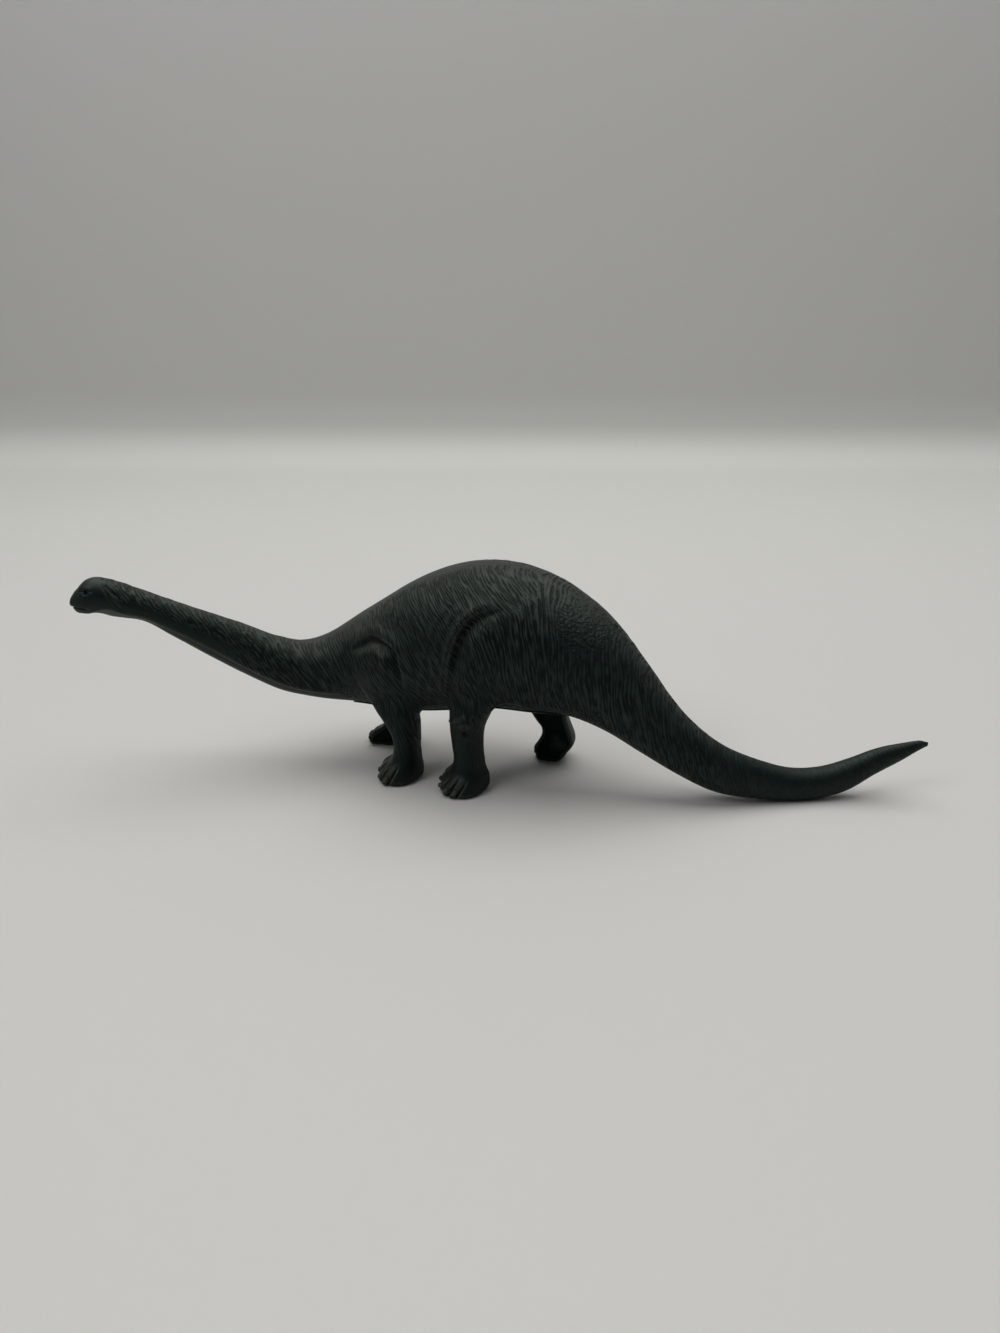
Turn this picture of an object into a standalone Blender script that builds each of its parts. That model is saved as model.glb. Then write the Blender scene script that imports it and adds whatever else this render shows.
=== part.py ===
"""A walking long-necked dinosaur, a static toy figure moulded in one dark plastic.

The body is a left and a right half shell that meet along the back, with the round outer walls of the legs on
them. A panel closes the belly, and a flat cover closes the inner side of each leg. Every surface is laid out
on a straight figure first, nose at -X, tail at +X, left side at -Y, and is then swung in plan into its pose.
Lengths are in metres.
"""

import bmesh
import bpy
import numpy as np

# Whole figure
FIGURE_LENGTH = 0.3416
BACK_HEIGHT = 0.0896
BODY_WIDTH = 0.0590

# Walls, seams and cuts
WALL = 0.0022
LEG_WALL = 0.0015
SEAM_GAP = 0.0003
FIT_GAP = 0.0003
CUT_OVERRUN = 0.0010

# Legs: foot length, height to the top of the muscle, distance of the flat inner side from the middle, and how
# far the leg stands out from that flat side
FORE_FOOT_LENGTH = 0.0195
FORE_LEG_HEIGHT = 0.0610
FORE_LEG_INSET = 0.0115
FORE_LEG_REACH = 0.0138
HIND_FOOT_LENGTH = 0.0200
HIND_LEG_HEIGHT = 0.0770
HIND_LEG_INSET = 0.0145
HIND_LEG_REACH = 0.0160
TOE_DEPTH = 0.0009
TOE_HEIGHT = 0.0085

# Shoulders and thighs: how far they swell out of the flank, how far down their upper edge is rounded, how deep
# that edge sinks into the flank, and the height over the belly in which the leg turns into them
SHOULDER_SWELL = 0.0018
THIGH_SWELL = 0.0026
SWELL_EDGE = 0.0050
SWELL_SINK = 0.0006
MUSCLE_RISE = 0.0120

# Leg covers and belly panel
COVER_THICKNESS = 0.0018
COVER_RECESS = 0.0002
PANEL_THICKNESS = 0.0020
PANEL_STEP = 0.0006
PANEL_LEG_GAP = 0.0005
PANEL_AHEAD = 0.0055
PANEL_BEHIND = 0.0100
PANEL_ROUND = 0.0090

# Pins that line up the two halves, in bosses that reach from the outer wall to the seam
BOSS_DIAMETER = 0.0064
PIN_DIAMETER = 0.0030
PIN_LENGTH = 0.0045

# Head
EYE_DIAMETER = 0.0024
EYE_SINK = 0.0005
MOUTH_LENGTH = 0.0070
MOUTH_OPENING = 0.0005

# Place along the figure from the middle of its length, then top, bottom and width of the body there
BODY_SHARES = (
    (-0.500, 0.862, 0.836, 0.070),
    (-0.494, 0.890, 0.812, 0.130),
    (-0.489, 0.917, 0.805, 0.165),
    (-0.483, 0.935, 0.801, 0.190),
    (-0.477, 0.944, 0.797, 0.205),
    (-0.468, 0.949, 0.795, 0.220),
    (-0.458, 0.943, 0.792, 0.230),
    (-0.446, 0.928, 0.785, 0.230),
    (-0.425, 0.893, 0.756, 0.220),
    (-0.395, 0.838, 0.679, 0.220),
    (-0.355, 0.766, 0.572, 0.250),
    (-0.315, 0.698, 0.465, 0.290),
    (-0.275, 0.624, 0.380, 0.345),
    (-0.246, 0.594, 0.344, 0.410),
    (-0.221, 0.613, 0.322, 0.475),
    (-0.186, 0.693, 0.307, 0.610),
    (-0.146, 0.797, 0.298, 0.780),
    (-0.106, 0.894, 0.296, 0.900),
    (-0.057, 0.973, 0.318, 0.980),
    (-0.007, 1.000, 0.350, 1.000),
    (0.043, 0.969, 0.352, 0.950),
    (0.092, 0.885, 0.343, 0.750),
    (0.132, 0.770, 0.289, 0.586),
    (0.172, 0.593, 0.205, 0.454),
    (0.212, 0.406, 0.122, 0.363),
    (0.251, 0.282, 0.051, 0.298),
    (0.301, 0.191, 0.012, 0.230),
    (0.351, 0.140, -0.004, 0.200),
    (0.381, 0.146, 0.003, 0.185),
    (0.411, 0.180, 0.036, 0.162),
    (0.440, 0.224, 0.105, 0.129),
    (0.470, 0.250, 0.169, 0.085),
    (0.493, 0.261, 0.224, 0.040),
    (0.500, 0.255, 0.236, 0.017),
)
WIDEST_SHARE = 0.48
BODY_POWER = 2.1
LEG_POWER = 2.4
MUSCLE_POWER = 5.0

# Heading of the middle line in plan, in degrees from +X, at places along the figure
SWING_SHARES = (-0.500, -0.380, -0.290, -0.235, -0.177, -0.132, -0.060, 0.177, 0.220, 0.280, 0.353, 0.440, 0.500)
SWING_DEGREES = (17, 15, 14, 11, -3, -14, -15, -17, -12, 0, 5, 3, 0)

# Each leg's rows from the sole up: height, front edge, rear edge, reach
LEFT_FORE_SHARES = (
    (0.000, -0.460, 0.400, 0.900),
    (0.020, -0.510, 0.440, 0.965),
    (0.066, -0.490, 0.450, 0.965),
    (0.107, -0.360, 0.440, 0.930),
    (0.148, -0.190, 0.420, 0.860),
    (0.213, -0.150, 0.405, 0.800),
    (0.311, -0.185, 0.410, 0.790),
    (0.420, -0.390, 0.410, 0.860),
    (0.541, -0.690, 0.385, 0.960),
    (0.689, -1.025, 0.310, 1.000),
    (0.820, -1.230, 0.180, 0.950),
    (0.934, -1.110, 0.000, 0.800),
    (1.000, -0.770, -0.256, 0.620),
)
RIGHT_FORE_SHARES = (
    (0.000, -0.450, 0.450, 0.900),
    (0.020, -0.500, 0.487, 0.965),
    (0.066, -0.480, 0.500, 0.965),
    (0.107, -0.370, 0.490, 0.930),
    (0.148, -0.236, 0.470, 0.860),
    (0.213, -0.174, 0.460, 0.800),
    (0.311, -0.185, 0.500, 0.790),
    (0.420, -0.287, 0.656, 0.860),
    (0.541, -0.420, 0.810, 0.960),
    (0.689, -0.523, 0.887, 1.000),
    (0.820, -0.533, 0.836, 0.950),
    (0.934, -0.395, 0.656, 0.800),
    (1.000, -0.113, 0.400, 0.620),
)
LEFT_HIND_SHARES = (
    (0.000, -0.440, 0.470, 0.860),
    (0.016, -0.490, 0.500, 0.930),
    (0.052, -0.475, 0.510, 0.930),
    (0.091, -0.370, 0.485, 0.890),
    (0.123, -0.270, 0.430, 0.820),
    (0.169, -0.220, 0.400, 0.750),
    (0.260, -0.250, 0.380, 0.740),
    (0.350, -0.280, 0.420, 0.800),
    (0.429, -0.280, 0.560, 0.890),
    (0.520, -0.300, 0.780, 0.960),
    (0.650, -0.345, 1.020, 1.000),
    (0.780, -0.350, 1.120, 0.985),
    (0.883, -0.200, 1.080, 0.900),
    (0.961, 0.150, 0.950, 0.720),
    (1.000, 0.450, 0.750, 0.560),
)
RIGHT_HIND_SHARES = (
    (0.000, -0.375, 0.025, 0.800),
    (0.020, -0.435, 0.125, 0.900),
    (0.058, -0.465, 0.220, 0.930),
    (0.117, -0.385, 0.360, 0.900),
    (0.143, -0.335, 0.350, 0.860),
    (0.182, -0.305, 0.300, 0.800),
    (0.247, -0.465, 0.220, 0.760),
    (0.300, -0.605, 0.175, 0.770),
    (0.364, -0.825, 0.125, 0.820),
    (0.442, -1.075, 0.050, 0.900),
    (0.520, -1.300, -0.025, 0.960),
    (0.650, -1.550, -0.150, 1.000),
    (0.780, -1.675, -0.225, 0.985),
    (0.883, -1.525, -0.300, 0.900),
    (0.961, -1.275, -0.475, 0.720),
    (1.000, -0.975, -0.675, 0.560),
)

# Places along the figure, as shares of its length from the middle
LEFT_FORE_SHARE = -0.1145
RIGHT_FORE_SHARE = -0.1510
LEFT_HIND_SHARE = -0.0320
RIGHT_HIND_SHARE = 0.0545
CAVITY_END_SHARES = (-0.265, 0.215)
PANEL_END_SHARE = 0.5
PANEL_ROUND_SHARES = (0.0, 0.1, 0.3, 0.6)
PIN_PLACE_SHARES = ((-0.208, 0.50), (-0.005, 0.90), (0.118, 0.57))
EYE_SHARES = (-0.4815, 0.890)
MOUTH_SHARES = (-0.4905, 0.824)
MOUTH_SLOPE_DEGREES = 6
TOE_SPAN_SHARE = 0.62
TOE_FADE_SHARE = 0.12
TOE_CREST_SHARE = 0.4
THIGH_FADE_SHARE = 0.75

# How finely the surfaces are divided
HEAD_STATIONS = 9
BODY_STATIONS = 46
CAVITY_STATIONS = 22
PANEL_STATIONS = 17
SECTION_POINTS = 17
CAVITY_POINTS = 13
PANEL_POINTS = 9
LEG_ROWS = 20
CAVITY_ROWS = 7
COVER_ROWS = 13
LEG_POINTS = 24
TOE_COUNT = 4
ROUND_POINTS = 20
ROLL_STEPS = 9
SWING_STEPS = 1001

# Finish of the shells and of the smooth inner pieces
SHELL_COLOUR = (0.010, 0.014, 0.013)
SHELL_ROUGHNESS = 0.42
SMOOTH_COLOUR = (0.009, 0.012, 0.011)
SMOOTH_ROUGHNESS = 0.36

LEFT = -1.0
RIGHT = 1.0


def clear_scene():
    for old in list(bpy.data.objects):
        bpy.data.objects.remove(old, do_unlink=True)


def new_collection(name):
    collection = bpy.data.collections.new(name)
    bpy.context.scene.collection.children.link(collection)
    return collection


def through(places, values, at):
    """A cubic curve through the given points, with each point's slope taken from its neighbours."""
    places = np.asarray(places, float)
    values = np.asarray(values, float)
    at = np.clip(at, places[0], places[-1])
    slopes = np.gradient(values, places)
    span = np.clip(np.searchsorted(places, at, side="right") - 1, 0, len(places) - 2)
    width = places[span + 1] - places[span]
    part = (at - places[span]) / width
    start = (1 + 2 * part) * (1 - part) ** 2
    leave = part * (1 - part) ** 2
    finish = part**2 * (3 - 2 * part)
    arrive = part**2 * (part - 1)
    level = start * values[span] + finish * values[span + 1]
    return level + width * (leave * slopes[span] + arrive * slopes[span + 1])


def body_lines(x):
    """Top, bottom and half width of the body at places along the straight figure."""
    table = np.array(BODY_SHARES)
    share = np.asarray(x) / FIGURE_LENGTH
    top = through(table[:, 0], table[:, 1], share) * BACK_HEIGHT
    bottom = through(table[:, 0], table[:, 2], share) * BACK_HEIGHT
    half_width = through(table[:, 0], table[:, 3], share) * BODY_WIDTH / 2
    return top, bottom, half_width


def belly_surface(x, y):
    """Height of the body's underside at distance y from the middle."""
    top, bottom, half_width = body_lines(x)
    middle = bottom + (top - bottom) * WIDEST_SHARE
    out = np.clip(np.abs(y) / half_width, 0, 1) ** BODY_POWER
    return middle - (middle - bottom) * (1 - out) ** (1 / BODY_POWER)


def superellipse(count, power):
    """Points of a half superellipse of unit size, from the start of its flat side round to its end."""
    turn = np.linspace(0, np.pi, count)
    along = np.sign(np.cos(turn)) * np.abs(np.cos(turn)) ** (2 / power)
    across = np.sin(turn).clip(0) ** (2 / power)
    return along, across


def flank(x, z):
    """Distance of the body's side from the middle, at place x and height z."""
    top, bottom, half_width = body_lines(x)
    middle = bottom + (top - bottom) * WIDEST_SHARE
    reach = np.where(z > middle, top - middle, middle - bottom)
    out = np.clip(np.abs(z - middle) / reach, 0, 1) ** BODY_POWER
    return half_width * (1 - out) ** (1 / BODY_POWER)


def smooth_step(value, low, high):
    part = np.clip((value - low) / (high - low), 0, 1)
    return part * part * (3 - 2 * part)


def half_body_rings(stations, side, wall, count, seam, past=0.0):
    """Half sections of the body. They start at the seam, and with past they run on over it as a cutter."""
    top, bottom, half_width = body_lines(stations)
    top = top - wall
    bottom = bottom + wall
    middle = bottom + (top - bottom) * WIDEST_SHARE
    up, out = superellipse(count, BODY_POWER)
    rise = np.where(up > 0, np.outer(top - middle, up), np.outer(middle - bottom, up))
    z = np.maximum(middle[:, None] + rise, wall)
    y = seam + np.outer(half_width - wall - seam, out)
    if past:
        over = np.full((len(stations), 1), seam - past)
        y = np.hstack([over, y, over])
        z = np.hstack([z[:, :1], z, z[:, -1:]])
    x = np.repeat(np.asarray(stations)[:, None], y.shape[1], 1)
    return np.stack([x, side * y, z], axis=-1)


def leg_edges(leg, heights):
    """Front edge, rear edge and reach of a leg at the given heights."""
    table = np.array(leg["rows"])
    share = np.asarray(heights) / leg["height"]
    place = leg["along"] * FIGURE_LENGTH
    front = place + through(table[:, 0], table[:, 1], share) * leg["foot"]
    rear = place + through(table[:, 0], table[:, 2], share) * leg["foot"]
    reach = through(table[:, 0], table[:, 3], share) * leg["reach"]
    return front, rear, reach


def leg_edges_inside(leg, heights):
    """The same, moved in by the wall at right angles to the surface: a circle of its radius rolls inside."""
    steps = np.linspace(-1, 1, ROLL_STEPS)
    drop = steps * LEG_WALL
    inward = np.sqrt(1 - steps**2) * LEG_WALL
    front, rear, reach = leg_edges(leg, np.asarray(heights)[:, None] + drop)
    return (front + inward).max(1), (rear - inward).min(1), (reach - inward).min(1)


def toe_scallops(heights, turn):
    """How far the toes stand out round the front of a foot, fading towards the ankle and the side."""
    share = turn / np.pi
    lobes = np.abs(np.sin(np.pi * TOE_COUNT * share / TOE_SPAN_SHARE)) - 1 + TOE_CREST_SHARE
    round_front = np.clip((TOE_SPAN_SHARE - share) / TOE_FADE_SHARE, 0, 1)
    low = np.sqrt(np.clip(1 - np.asarray(heights) / TOE_HEIGHT, 0, 1))
    return TOE_DEPTH * np.outer(low, lobes * round_front)


def leg_rings(leg, heights, edges, count, wall=0.0, past=0.0, toes=False):
    """Half round sections of a leg with their flat side inwards, and with past a cutter that runs out of it.

    Higher up the sections grow square and take their reach from the flank, which they swell out of: all round
    the shoulder, and at the front of the thigh, whose rear runs into the flank.
    """
    front, rear, reach = edges
    level = np.asarray(heights)[:, None]
    belly = belly_surface(leg["along"] * FIGURE_LENGTH, leg["inset"])
    muscle = smooth_step(level, belly, belly + MUSCLE_RISE)
    round_along, round_across = superellipse(count, LEG_POWER)
    square_along, square_across = superellipse(count, MUSCLE_POWER)
    along = round_along + (square_along - round_along) * muscle
    across = round_across + (square_across - round_across) * muscle
    centre = (front + rear)[:, None] / 2
    half = (rear - front)[:, None] / 2
    x = centre - half * along
    to_top = np.sqrt(np.clip((leg["height"] - wall - level) / SWELL_EDGE, 0, 1))
    to_rear = 1 - leg["rear_fade"] * smooth_step(-along, -1, 1)
    swell = leg["swell"] * to_top * to_rear - SWELL_SINK * (1 - to_top)
    side = flank(x, level + 0 * x) + swell - wall - leg["inset"]
    y = (reach[:, None] + (side - reach[:, None]) * muscle) * across
    if toes:
        scallop = toe_scallops(heights, np.linspace(0, np.pi, count))
        x = x - scallop * along
        y = y + scallop * across
    y = np.maximum(y, 0)
    if past:
        over = np.full((len(front), 1), -past)
        x = np.hstack([x[:, :1], x, x[:, -1:]])
        y = np.hstack([over, y, over])
    z = np.repeat(np.asarray(heights)[:, None], x.shape[1], 1)
    return np.stack([x, leg["side"] * (leg["inset"] + y), z], axis=-1)


def middle_line(x):
    """Place and heading of the swung middle line, at a distance x along it from the middle of the length."""
    fine = np.linspace(SWING_SHARES[0], SWING_SHARES[-1], SWING_STEPS)
    heading = np.radians(through(SWING_SHARES, SWING_DEGREES, fine))
    halfway = (heading[1:] + heading[:-1]) / 2
    step = np.diff(fine) * FIGURE_LENGTH
    over = np.concatenate([[0.0], np.cumsum(step * np.cos(halfway))])
    aside = np.concatenate([[0.0], np.cumsum(step * np.sin(halfway))])
    share = x / FIGURE_LENGTH
    return np.interp(share, fine, over), np.interp(share, fine, aside), np.interp(share, fine, heading)


def swing(points):
    """Carries points of the straight figure to the pose: along the swung line, and square out from it."""
    over, aside, heading = middle_line(points[..., 0])
    x = over - points[..., 1] * np.sin(heading)
    y = aside + points[..., 1] * np.cos(heading)
    return np.stack([x, y, points[..., 2]], axis=-1)


def loft(name, rings, collection):
    """A closed mesh through rings of points, with a flat cap on the first ring and on the last."""
    count, around = rings.shape[:2]
    points = (swing(rings) - POSE_CENTRE).reshape(-1, 3)
    here = np.arange(around)
    after = np.roll(here, -1)
    quads = [np.stack([here, after, after + around, here + around], 1) + row * around for row in range(count - 1)]
    faces = [list(map(int, quad)) for quad in np.concatenate(quads)]
    faces.append([int(index) for index in here[::-1]])
    faces.append([int(index) for index in here + (count - 1) * around])
    mesh = bpy.data.meshes.new(name)
    mesh.from_pydata([tuple(point) for point in points], [], faces)
    work = bmesh.new()
    work.from_mesh(mesh)
    bmesh.ops.recalc_face_normals(work, faces=work.faces)
    work.to_mesh(mesh)
    work.free()
    thing = bpy.data.objects.new(name, mesh)
    collection.objects.link(thing)
    return thing


def pose_of(x, y, z):
    """World place of one point of the straight figure, with the heading there."""
    place = swing(np.array([x, y, z])) - POSE_CENTRE
    return place, float(middle_line(np.array(x))[2])


def cylinder(name, x, z, start, end, diameter):
    """A cylinder square to the middle line at x, from distance start to distance end from it."""
    place, heading = pose_of(x, (start + end) / 2, z)
    bpy.ops.mesh.primitive_cylinder_add(
        vertices=ROUND_POINTS,
        radius=diameter / 2,
        depth=abs(end - start),
        location=place,
        rotation=(np.pi / 2, 0, heading),
    )
    return as_cutter(name)


def as_cutter(name):
    thing = bpy.context.active_object
    thing.name = name
    for owner in list(thing.users_collection):
        owner.objects.unlink(thing)
    CUTTERS.objects.link(thing)
    return thing


def hide_cutters():
    for thing in CUTTERS.objects:
        thing.hide_render = True
        thing.display_type = "WIRE"


def combine(thing, other, operation, over_slivers=False):
    """An exact Boolean, which takes longer where it has to cope with slivers that the ones before it leave."""
    modifier = thing.modifiers.new(f"{operation.lower()} {other.name}", "BOOLEAN")
    modifier.operation = operation
    modifier.object = other
    modifier.solver = "EXACT"
    modifier.use_self = over_slivers


def finish_plastic(thing, colour, roughness):
    """The piece's own material, a satin plastic without metal."""
    material = bpy.data.materials.new(f"{thing.name}_plastic")
    material.use_nodes = True
    shader = material.node_tree.nodes["Principled BSDF"]
    shader.inputs["Base Color"].default_value = (*colour, 1.0)
    shader.inputs["Roughness"].default_value = roughness
    shader.inputs["Metallic"].default_value = 0.0
    thing.data.materials.append(material)


def body_stations():
    head = np.linspace(BODY_SHARES[0][0], BODY_SHARES[6][0], HEAD_STATIONS)
    rest = np.linspace(BODY_SHARES[6][0], BODY_SHARES[-2][0], BODY_STATIONS)
    return np.concatenate([head, rest[1:], [BODY_SHARES[-1][0]]]) * FIGURE_LENGTH


def outer_leg_rings(leg):
    table = np.array(leg["rows"])
    rows = np.interp(np.linspace(0, 1, LEG_ROWS), np.linspace(0, 1, len(table)), table[:, 0])
    heights = rows * leg["height"]
    return leg_rings(leg, heights, leg_edges(leg, heights), LEG_POINTS, toes=True)


def cover_heights(leg):
    """Rows of a leg cover, from just over the wall of the sole to just over the edge of the belly panel."""
    under_body = belly_surface(leg["along"] * FIGURE_LENGTH, leg["inset"])
    return np.linspace(LEG_WALL + FIT_GAP, under_body + PANEL_THICKNESS, COVER_ROWS)


def leg_cavity_rings(leg):
    """The hollow of a leg. It shares the cover's rows, so the gap between them is even."""
    cover = cover_heights(leg)
    above = np.linspace(cover[-1], leg["height"] - LEG_WALL, CAVITY_ROWS)
    heights = np.concatenate([[LEG_WALL], cover, above[1:]])
    return leg_rings(leg, heights, leg_edges_inside(leg, heights), CAVITY_POINTS, LEG_WALL, CUT_OVERRUN)


def cover_rings(leg):
    """The flat cover: it fills the leg's open side, and its top stands behind the edge of the belly panel."""
    heights = cover_heights(leg)
    front, rear, _ = leg_edges_inside(leg, heights)
    near = leg["inset"] + COVER_RECESS
    far = near + COVER_THICKNESS
    x = np.stack([front + FIT_GAP, rear - FIT_GAP, rear - FIT_GAP, front + FIT_GAP], 1)
    y = leg["side"] * np.tile([near, near, far, far], (COVER_ROWS, 1))
    z = np.repeat(heights[:, None], 4, 1)
    return np.stack([x, y, z], axis=-1)


def panel_ends():
    """Front end and rear end of the belly panel, and the place between where it widens for the hind legs."""
    fronts = []
    rears = []
    for leg in LEGS:
        front, rear, _ = leg_edges(leg, belly_surface(leg["along"] * FIGURE_LENGTH, leg["inset"]))
        fronts.append(float(front))
        rears.append(float(rear))
    widening = (max(rears[0], rears[2]) + min(fronts[1], fronts[3])) / 2
    return min(fronts) - PANEL_AHEAD, max(rears) + PANEL_BEHIND, widening


def panel_half_width(x):
    """Half the belly panel's width: it just clears the flat sides of the legs, and is round at its ends."""
    start, end, widening = panel_ends()
    hind_part = smooth_step(x, widening - PANEL_ROUND / 2, widening + PANEL_ROUND / 2)
    half = FORE_LEG_INSET + (HIND_LEG_INSET - FORE_LEG_INSET) * hind_part - PANEL_LEG_GAP
    from_end = np.clip(np.minimum(x - start, end - x) / PANEL_ROUND, 0, 1)
    return half * (PANEL_END_SHARE + (1 - PANEL_END_SHARE) * np.sqrt(1 - (1 - from_end) ** 2))


def panel_stations():
    start, end, _ = panel_ends()
    rounded = np.array(PANEL_ROUND_SHARES) * PANEL_ROUND
    even = np.linspace(start + PANEL_ROUND, end - PANEL_ROUND, PANEL_STATIONS)
    return np.concatenate([start + rounded, even, end - rounded[::-1]])


def panel_rings():
    """A strip of the underside, standing out from it by the step, with an even thickness."""
    x = panel_stations()
    across = np.linspace(-1, 1, PANEL_POINTS)
    y = np.outer(panel_half_width(x), across)
    x = np.repeat(x[:, None], PANEL_POINTS, 1)
    under = belly_surface(x, y) - PANEL_STEP
    outer = np.stack([x, y, under], -1)
    inner = np.stack([x, y, under + PANEL_THICKNESS], -1)
    return np.concatenate([outer, inner[:, ::-1]], axis=1)


def panel_opening_rings():
    """A cutter for the opening that the panel closes: as wide as the panel and its gap, open below."""
    x = panel_stations()
    half = panel_half_width(x) + FIT_GAP
    top, bottom, _ = body_lines(x)
    high = (top + bottom) / 2
    low = np.full_like(x, -CUT_OVERRUN)
    y = np.stack([-half, half, half, -half], 1)
    z = np.stack([low, low, high, high], 1)
    ends = np.zeros_like(x)
    ends[0] = -FIT_GAP
    ends[-1] = FIT_GAP
    return np.stack([np.repeat((x + ends)[:, None], 4, 1), y, z], axis=-1)


def cut_head(shell, side, name):
    """The eye's recess and the slit of the mouth."""
    eye_x = EYE_SHARES[0] * FIGURE_LENGTH
    half_width = float(body_lines(eye_x)[2])
    place, _ = pose_of(eye_x, side * (half_width + EYE_SINK), EYE_SHARES[1] * BACK_HEIGHT)
    bpy.ops.mesh.primitive_uv_sphere_add(
        segments=ROUND_POINTS,
        ring_count=ROUND_POINTS // 2,
        radius=EYE_DIAMETER / 2,
        location=place,
    )
    combine(shell, as_cutter(f"{name}_eye_recess"), "DIFFERENCE")
    place, heading = pose_of(MOUTH_SHARES[0] * FIGURE_LENGTH, 0.0, MOUTH_SHARES[1] * BACK_HEIGHT)
    bpy.ops.mesh.primitive_cube_add(size=1, location=place, rotation=(0, np.radians(MOUTH_SLOPE_DEGREES), heading))
    slit = as_cutter(f"{name}_mouth_slit")
    slit.scale = (MOUTH_LENGTH, BODY_WIDTH / 2, MOUTH_OPENING)
    combine(shell, slit, "DIFFERENCE")


def make_shell(name, side, legs):
    """One half of the figure: body and outer leg walls, hollowed, opened at the belly, with its bosses."""
    stations = body_stations()
    shell = loft(name, half_body_rings(stations, side, 0.0, SECTION_POINTS, SEAM_GAP / 2), PARTS)
    for leg in legs:
        combine(shell, loft(f"{name}_{leg['name']}_wall", outer_leg_rings(leg), CUTTERS), "UNION")
    ends = np.array(CAVITY_END_SHARES) * FIGURE_LENGTH
    inside = np.linspace(ends[0], ends[1], CAVITY_STATIONS)
    rings = half_body_rings(inside, side, WALL, CAVITY_POINTS, SEAM_GAP / 2, CUT_OVERRUN)
    cavity = loft(f"{name}_cavity", rings, CUTTERS)
    for number, (along, height) in enumerate(PIN_PLACE_SHARES):
        x = along * FIGURE_LENGTH
        outside = side * float(body_lines(x)[2])
        boss = cylinder(f"{name}_boss_{number}", x, height * BACK_HEIGHT, outside, -side * CUT_OVERRUN, BOSS_DIAMETER)
        combine(cavity, boss, "DIFFERENCE")
    combine(shell, cavity, "DIFFERENCE")
    for leg in legs:
        hollow = loft(f"{name}_{leg['name']}_cavity", leg_cavity_rings(leg), CUTTERS)
        combine(shell, hollow, "DIFFERENCE", over_slivers=True)
    combine(shell, loft(f"{name}_belly_opening", panel_opening_rings(), CUTTERS), "DIFFERENCE")
    cut_head(shell, side, name)
    return shell


def add_pins(shell):
    """Pins on the left half, which start inside their bosses and stand out over the seam."""
    for number, (along, height) in enumerate(PIN_PLACE_SHARES):
        place = (along * FIGURE_LENGTH, height * BACK_HEIGHT)
        root = LEFT * PIN_DIAMETER
        pin = cylinder(f"pin_{number}", *place, root, PIN_LENGTH, PIN_DIAMETER)
        combine(shell, pin, "UNION")


def add_sockets(shell):
    """Sockets in the bosses of the right half, wider and deeper than the pins by the fit gap."""
    for number, (along, height) in enumerate(PIN_PLACE_SHARES):
        place = (along * FIGURE_LENGTH, height * BACK_HEIGHT)
        width = PIN_DIAMETER + 2 * FIT_GAP
        socket = cylinder(f"socket_{number}", *place, -CUT_OVERRUN, PIN_LENGTH + FIT_GAP, width)
        combine(shell, socket, "DIFFERENCE")


def leg_record(name, side, along, rows, fore):
    return {
        "name": name,
        "side": side,
        "along": along,
        "rows": rows,
        "foot": FORE_FOOT_LENGTH if fore else HIND_FOOT_LENGTH,
        "height": FORE_LEG_HEIGHT if fore else HIND_LEG_HEIGHT,
        "inset": FORE_LEG_INSET if fore else HIND_LEG_INSET,
        "reach": FORE_LEG_REACH if fore else HIND_LEG_REACH,
        "swell": SHOULDER_SWELL if fore else THIGH_SWELL,
        "rear_fade": 0.0 if fore else THIGH_FADE_SHARE,
    }


LEGS = (
    leg_record("left_fore_leg", LEFT, LEFT_FORE_SHARE, LEFT_FORE_SHARES, True),
    leg_record("left_hind_leg", LEFT, LEFT_HIND_SHARE, LEFT_HIND_SHARES, False),
    leg_record("right_fore_leg", RIGHT, RIGHT_FORE_SHARE, RIGHT_FORE_SHARES, True),
    leg_record("right_hind_leg", RIGHT, RIGHT_HIND_SHARE, RIGHT_HIND_SHARES, False),
)


def pose_centre():
    """Middle of the posed figure's box, seen from above, which becomes the origin on the floor."""
    outer = [half_body_rings(body_stations(), side, 0.0, SECTION_POINTS, SEAM_GAP / 2) for side in (LEFT, RIGHT)]
    outer += [outer_leg_rings(leg) for leg in LEGS]
    points = np.concatenate([swing(rings).reshape(-1, 3) for rings in outer])
    centre = (points.min(0) + points.max(0)) / 2
    centre[2] = 0.0
    return centre


clear_scene()
PARTS = new_collection("toy_dinosaur_figure")
CUTTERS = new_collection("cutters")
POSE_CENTRE = pose_centre()

left_shell = make_shell("left_body_shell", LEFT, LEGS[:2])
add_pins(left_shell)
finish_plastic(left_shell, SHELL_COLOUR, SHELL_ROUGHNESS)

right_shell = make_shell("right_body_shell", RIGHT, LEGS[2:])
add_sockets(right_shell)
finish_plastic(right_shell, SHELL_COLOUR, SHELL_ROUGHNESS)

belly_panel = loft("belly_panel", panel_rings(), PARTS)
finish_plastic(belly_panel, SMOOTH_COLOUR, SMOOTH_ROUGHNESS)

for each in LEGS:
    cover = loft(f"{each['name']}_cover", cover_rings(each), PARTS)
    finish_plastic(cover, SMOOTH_COLOUR, SMOOTH_ROUGHNESS)

hide_cutters()
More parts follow.
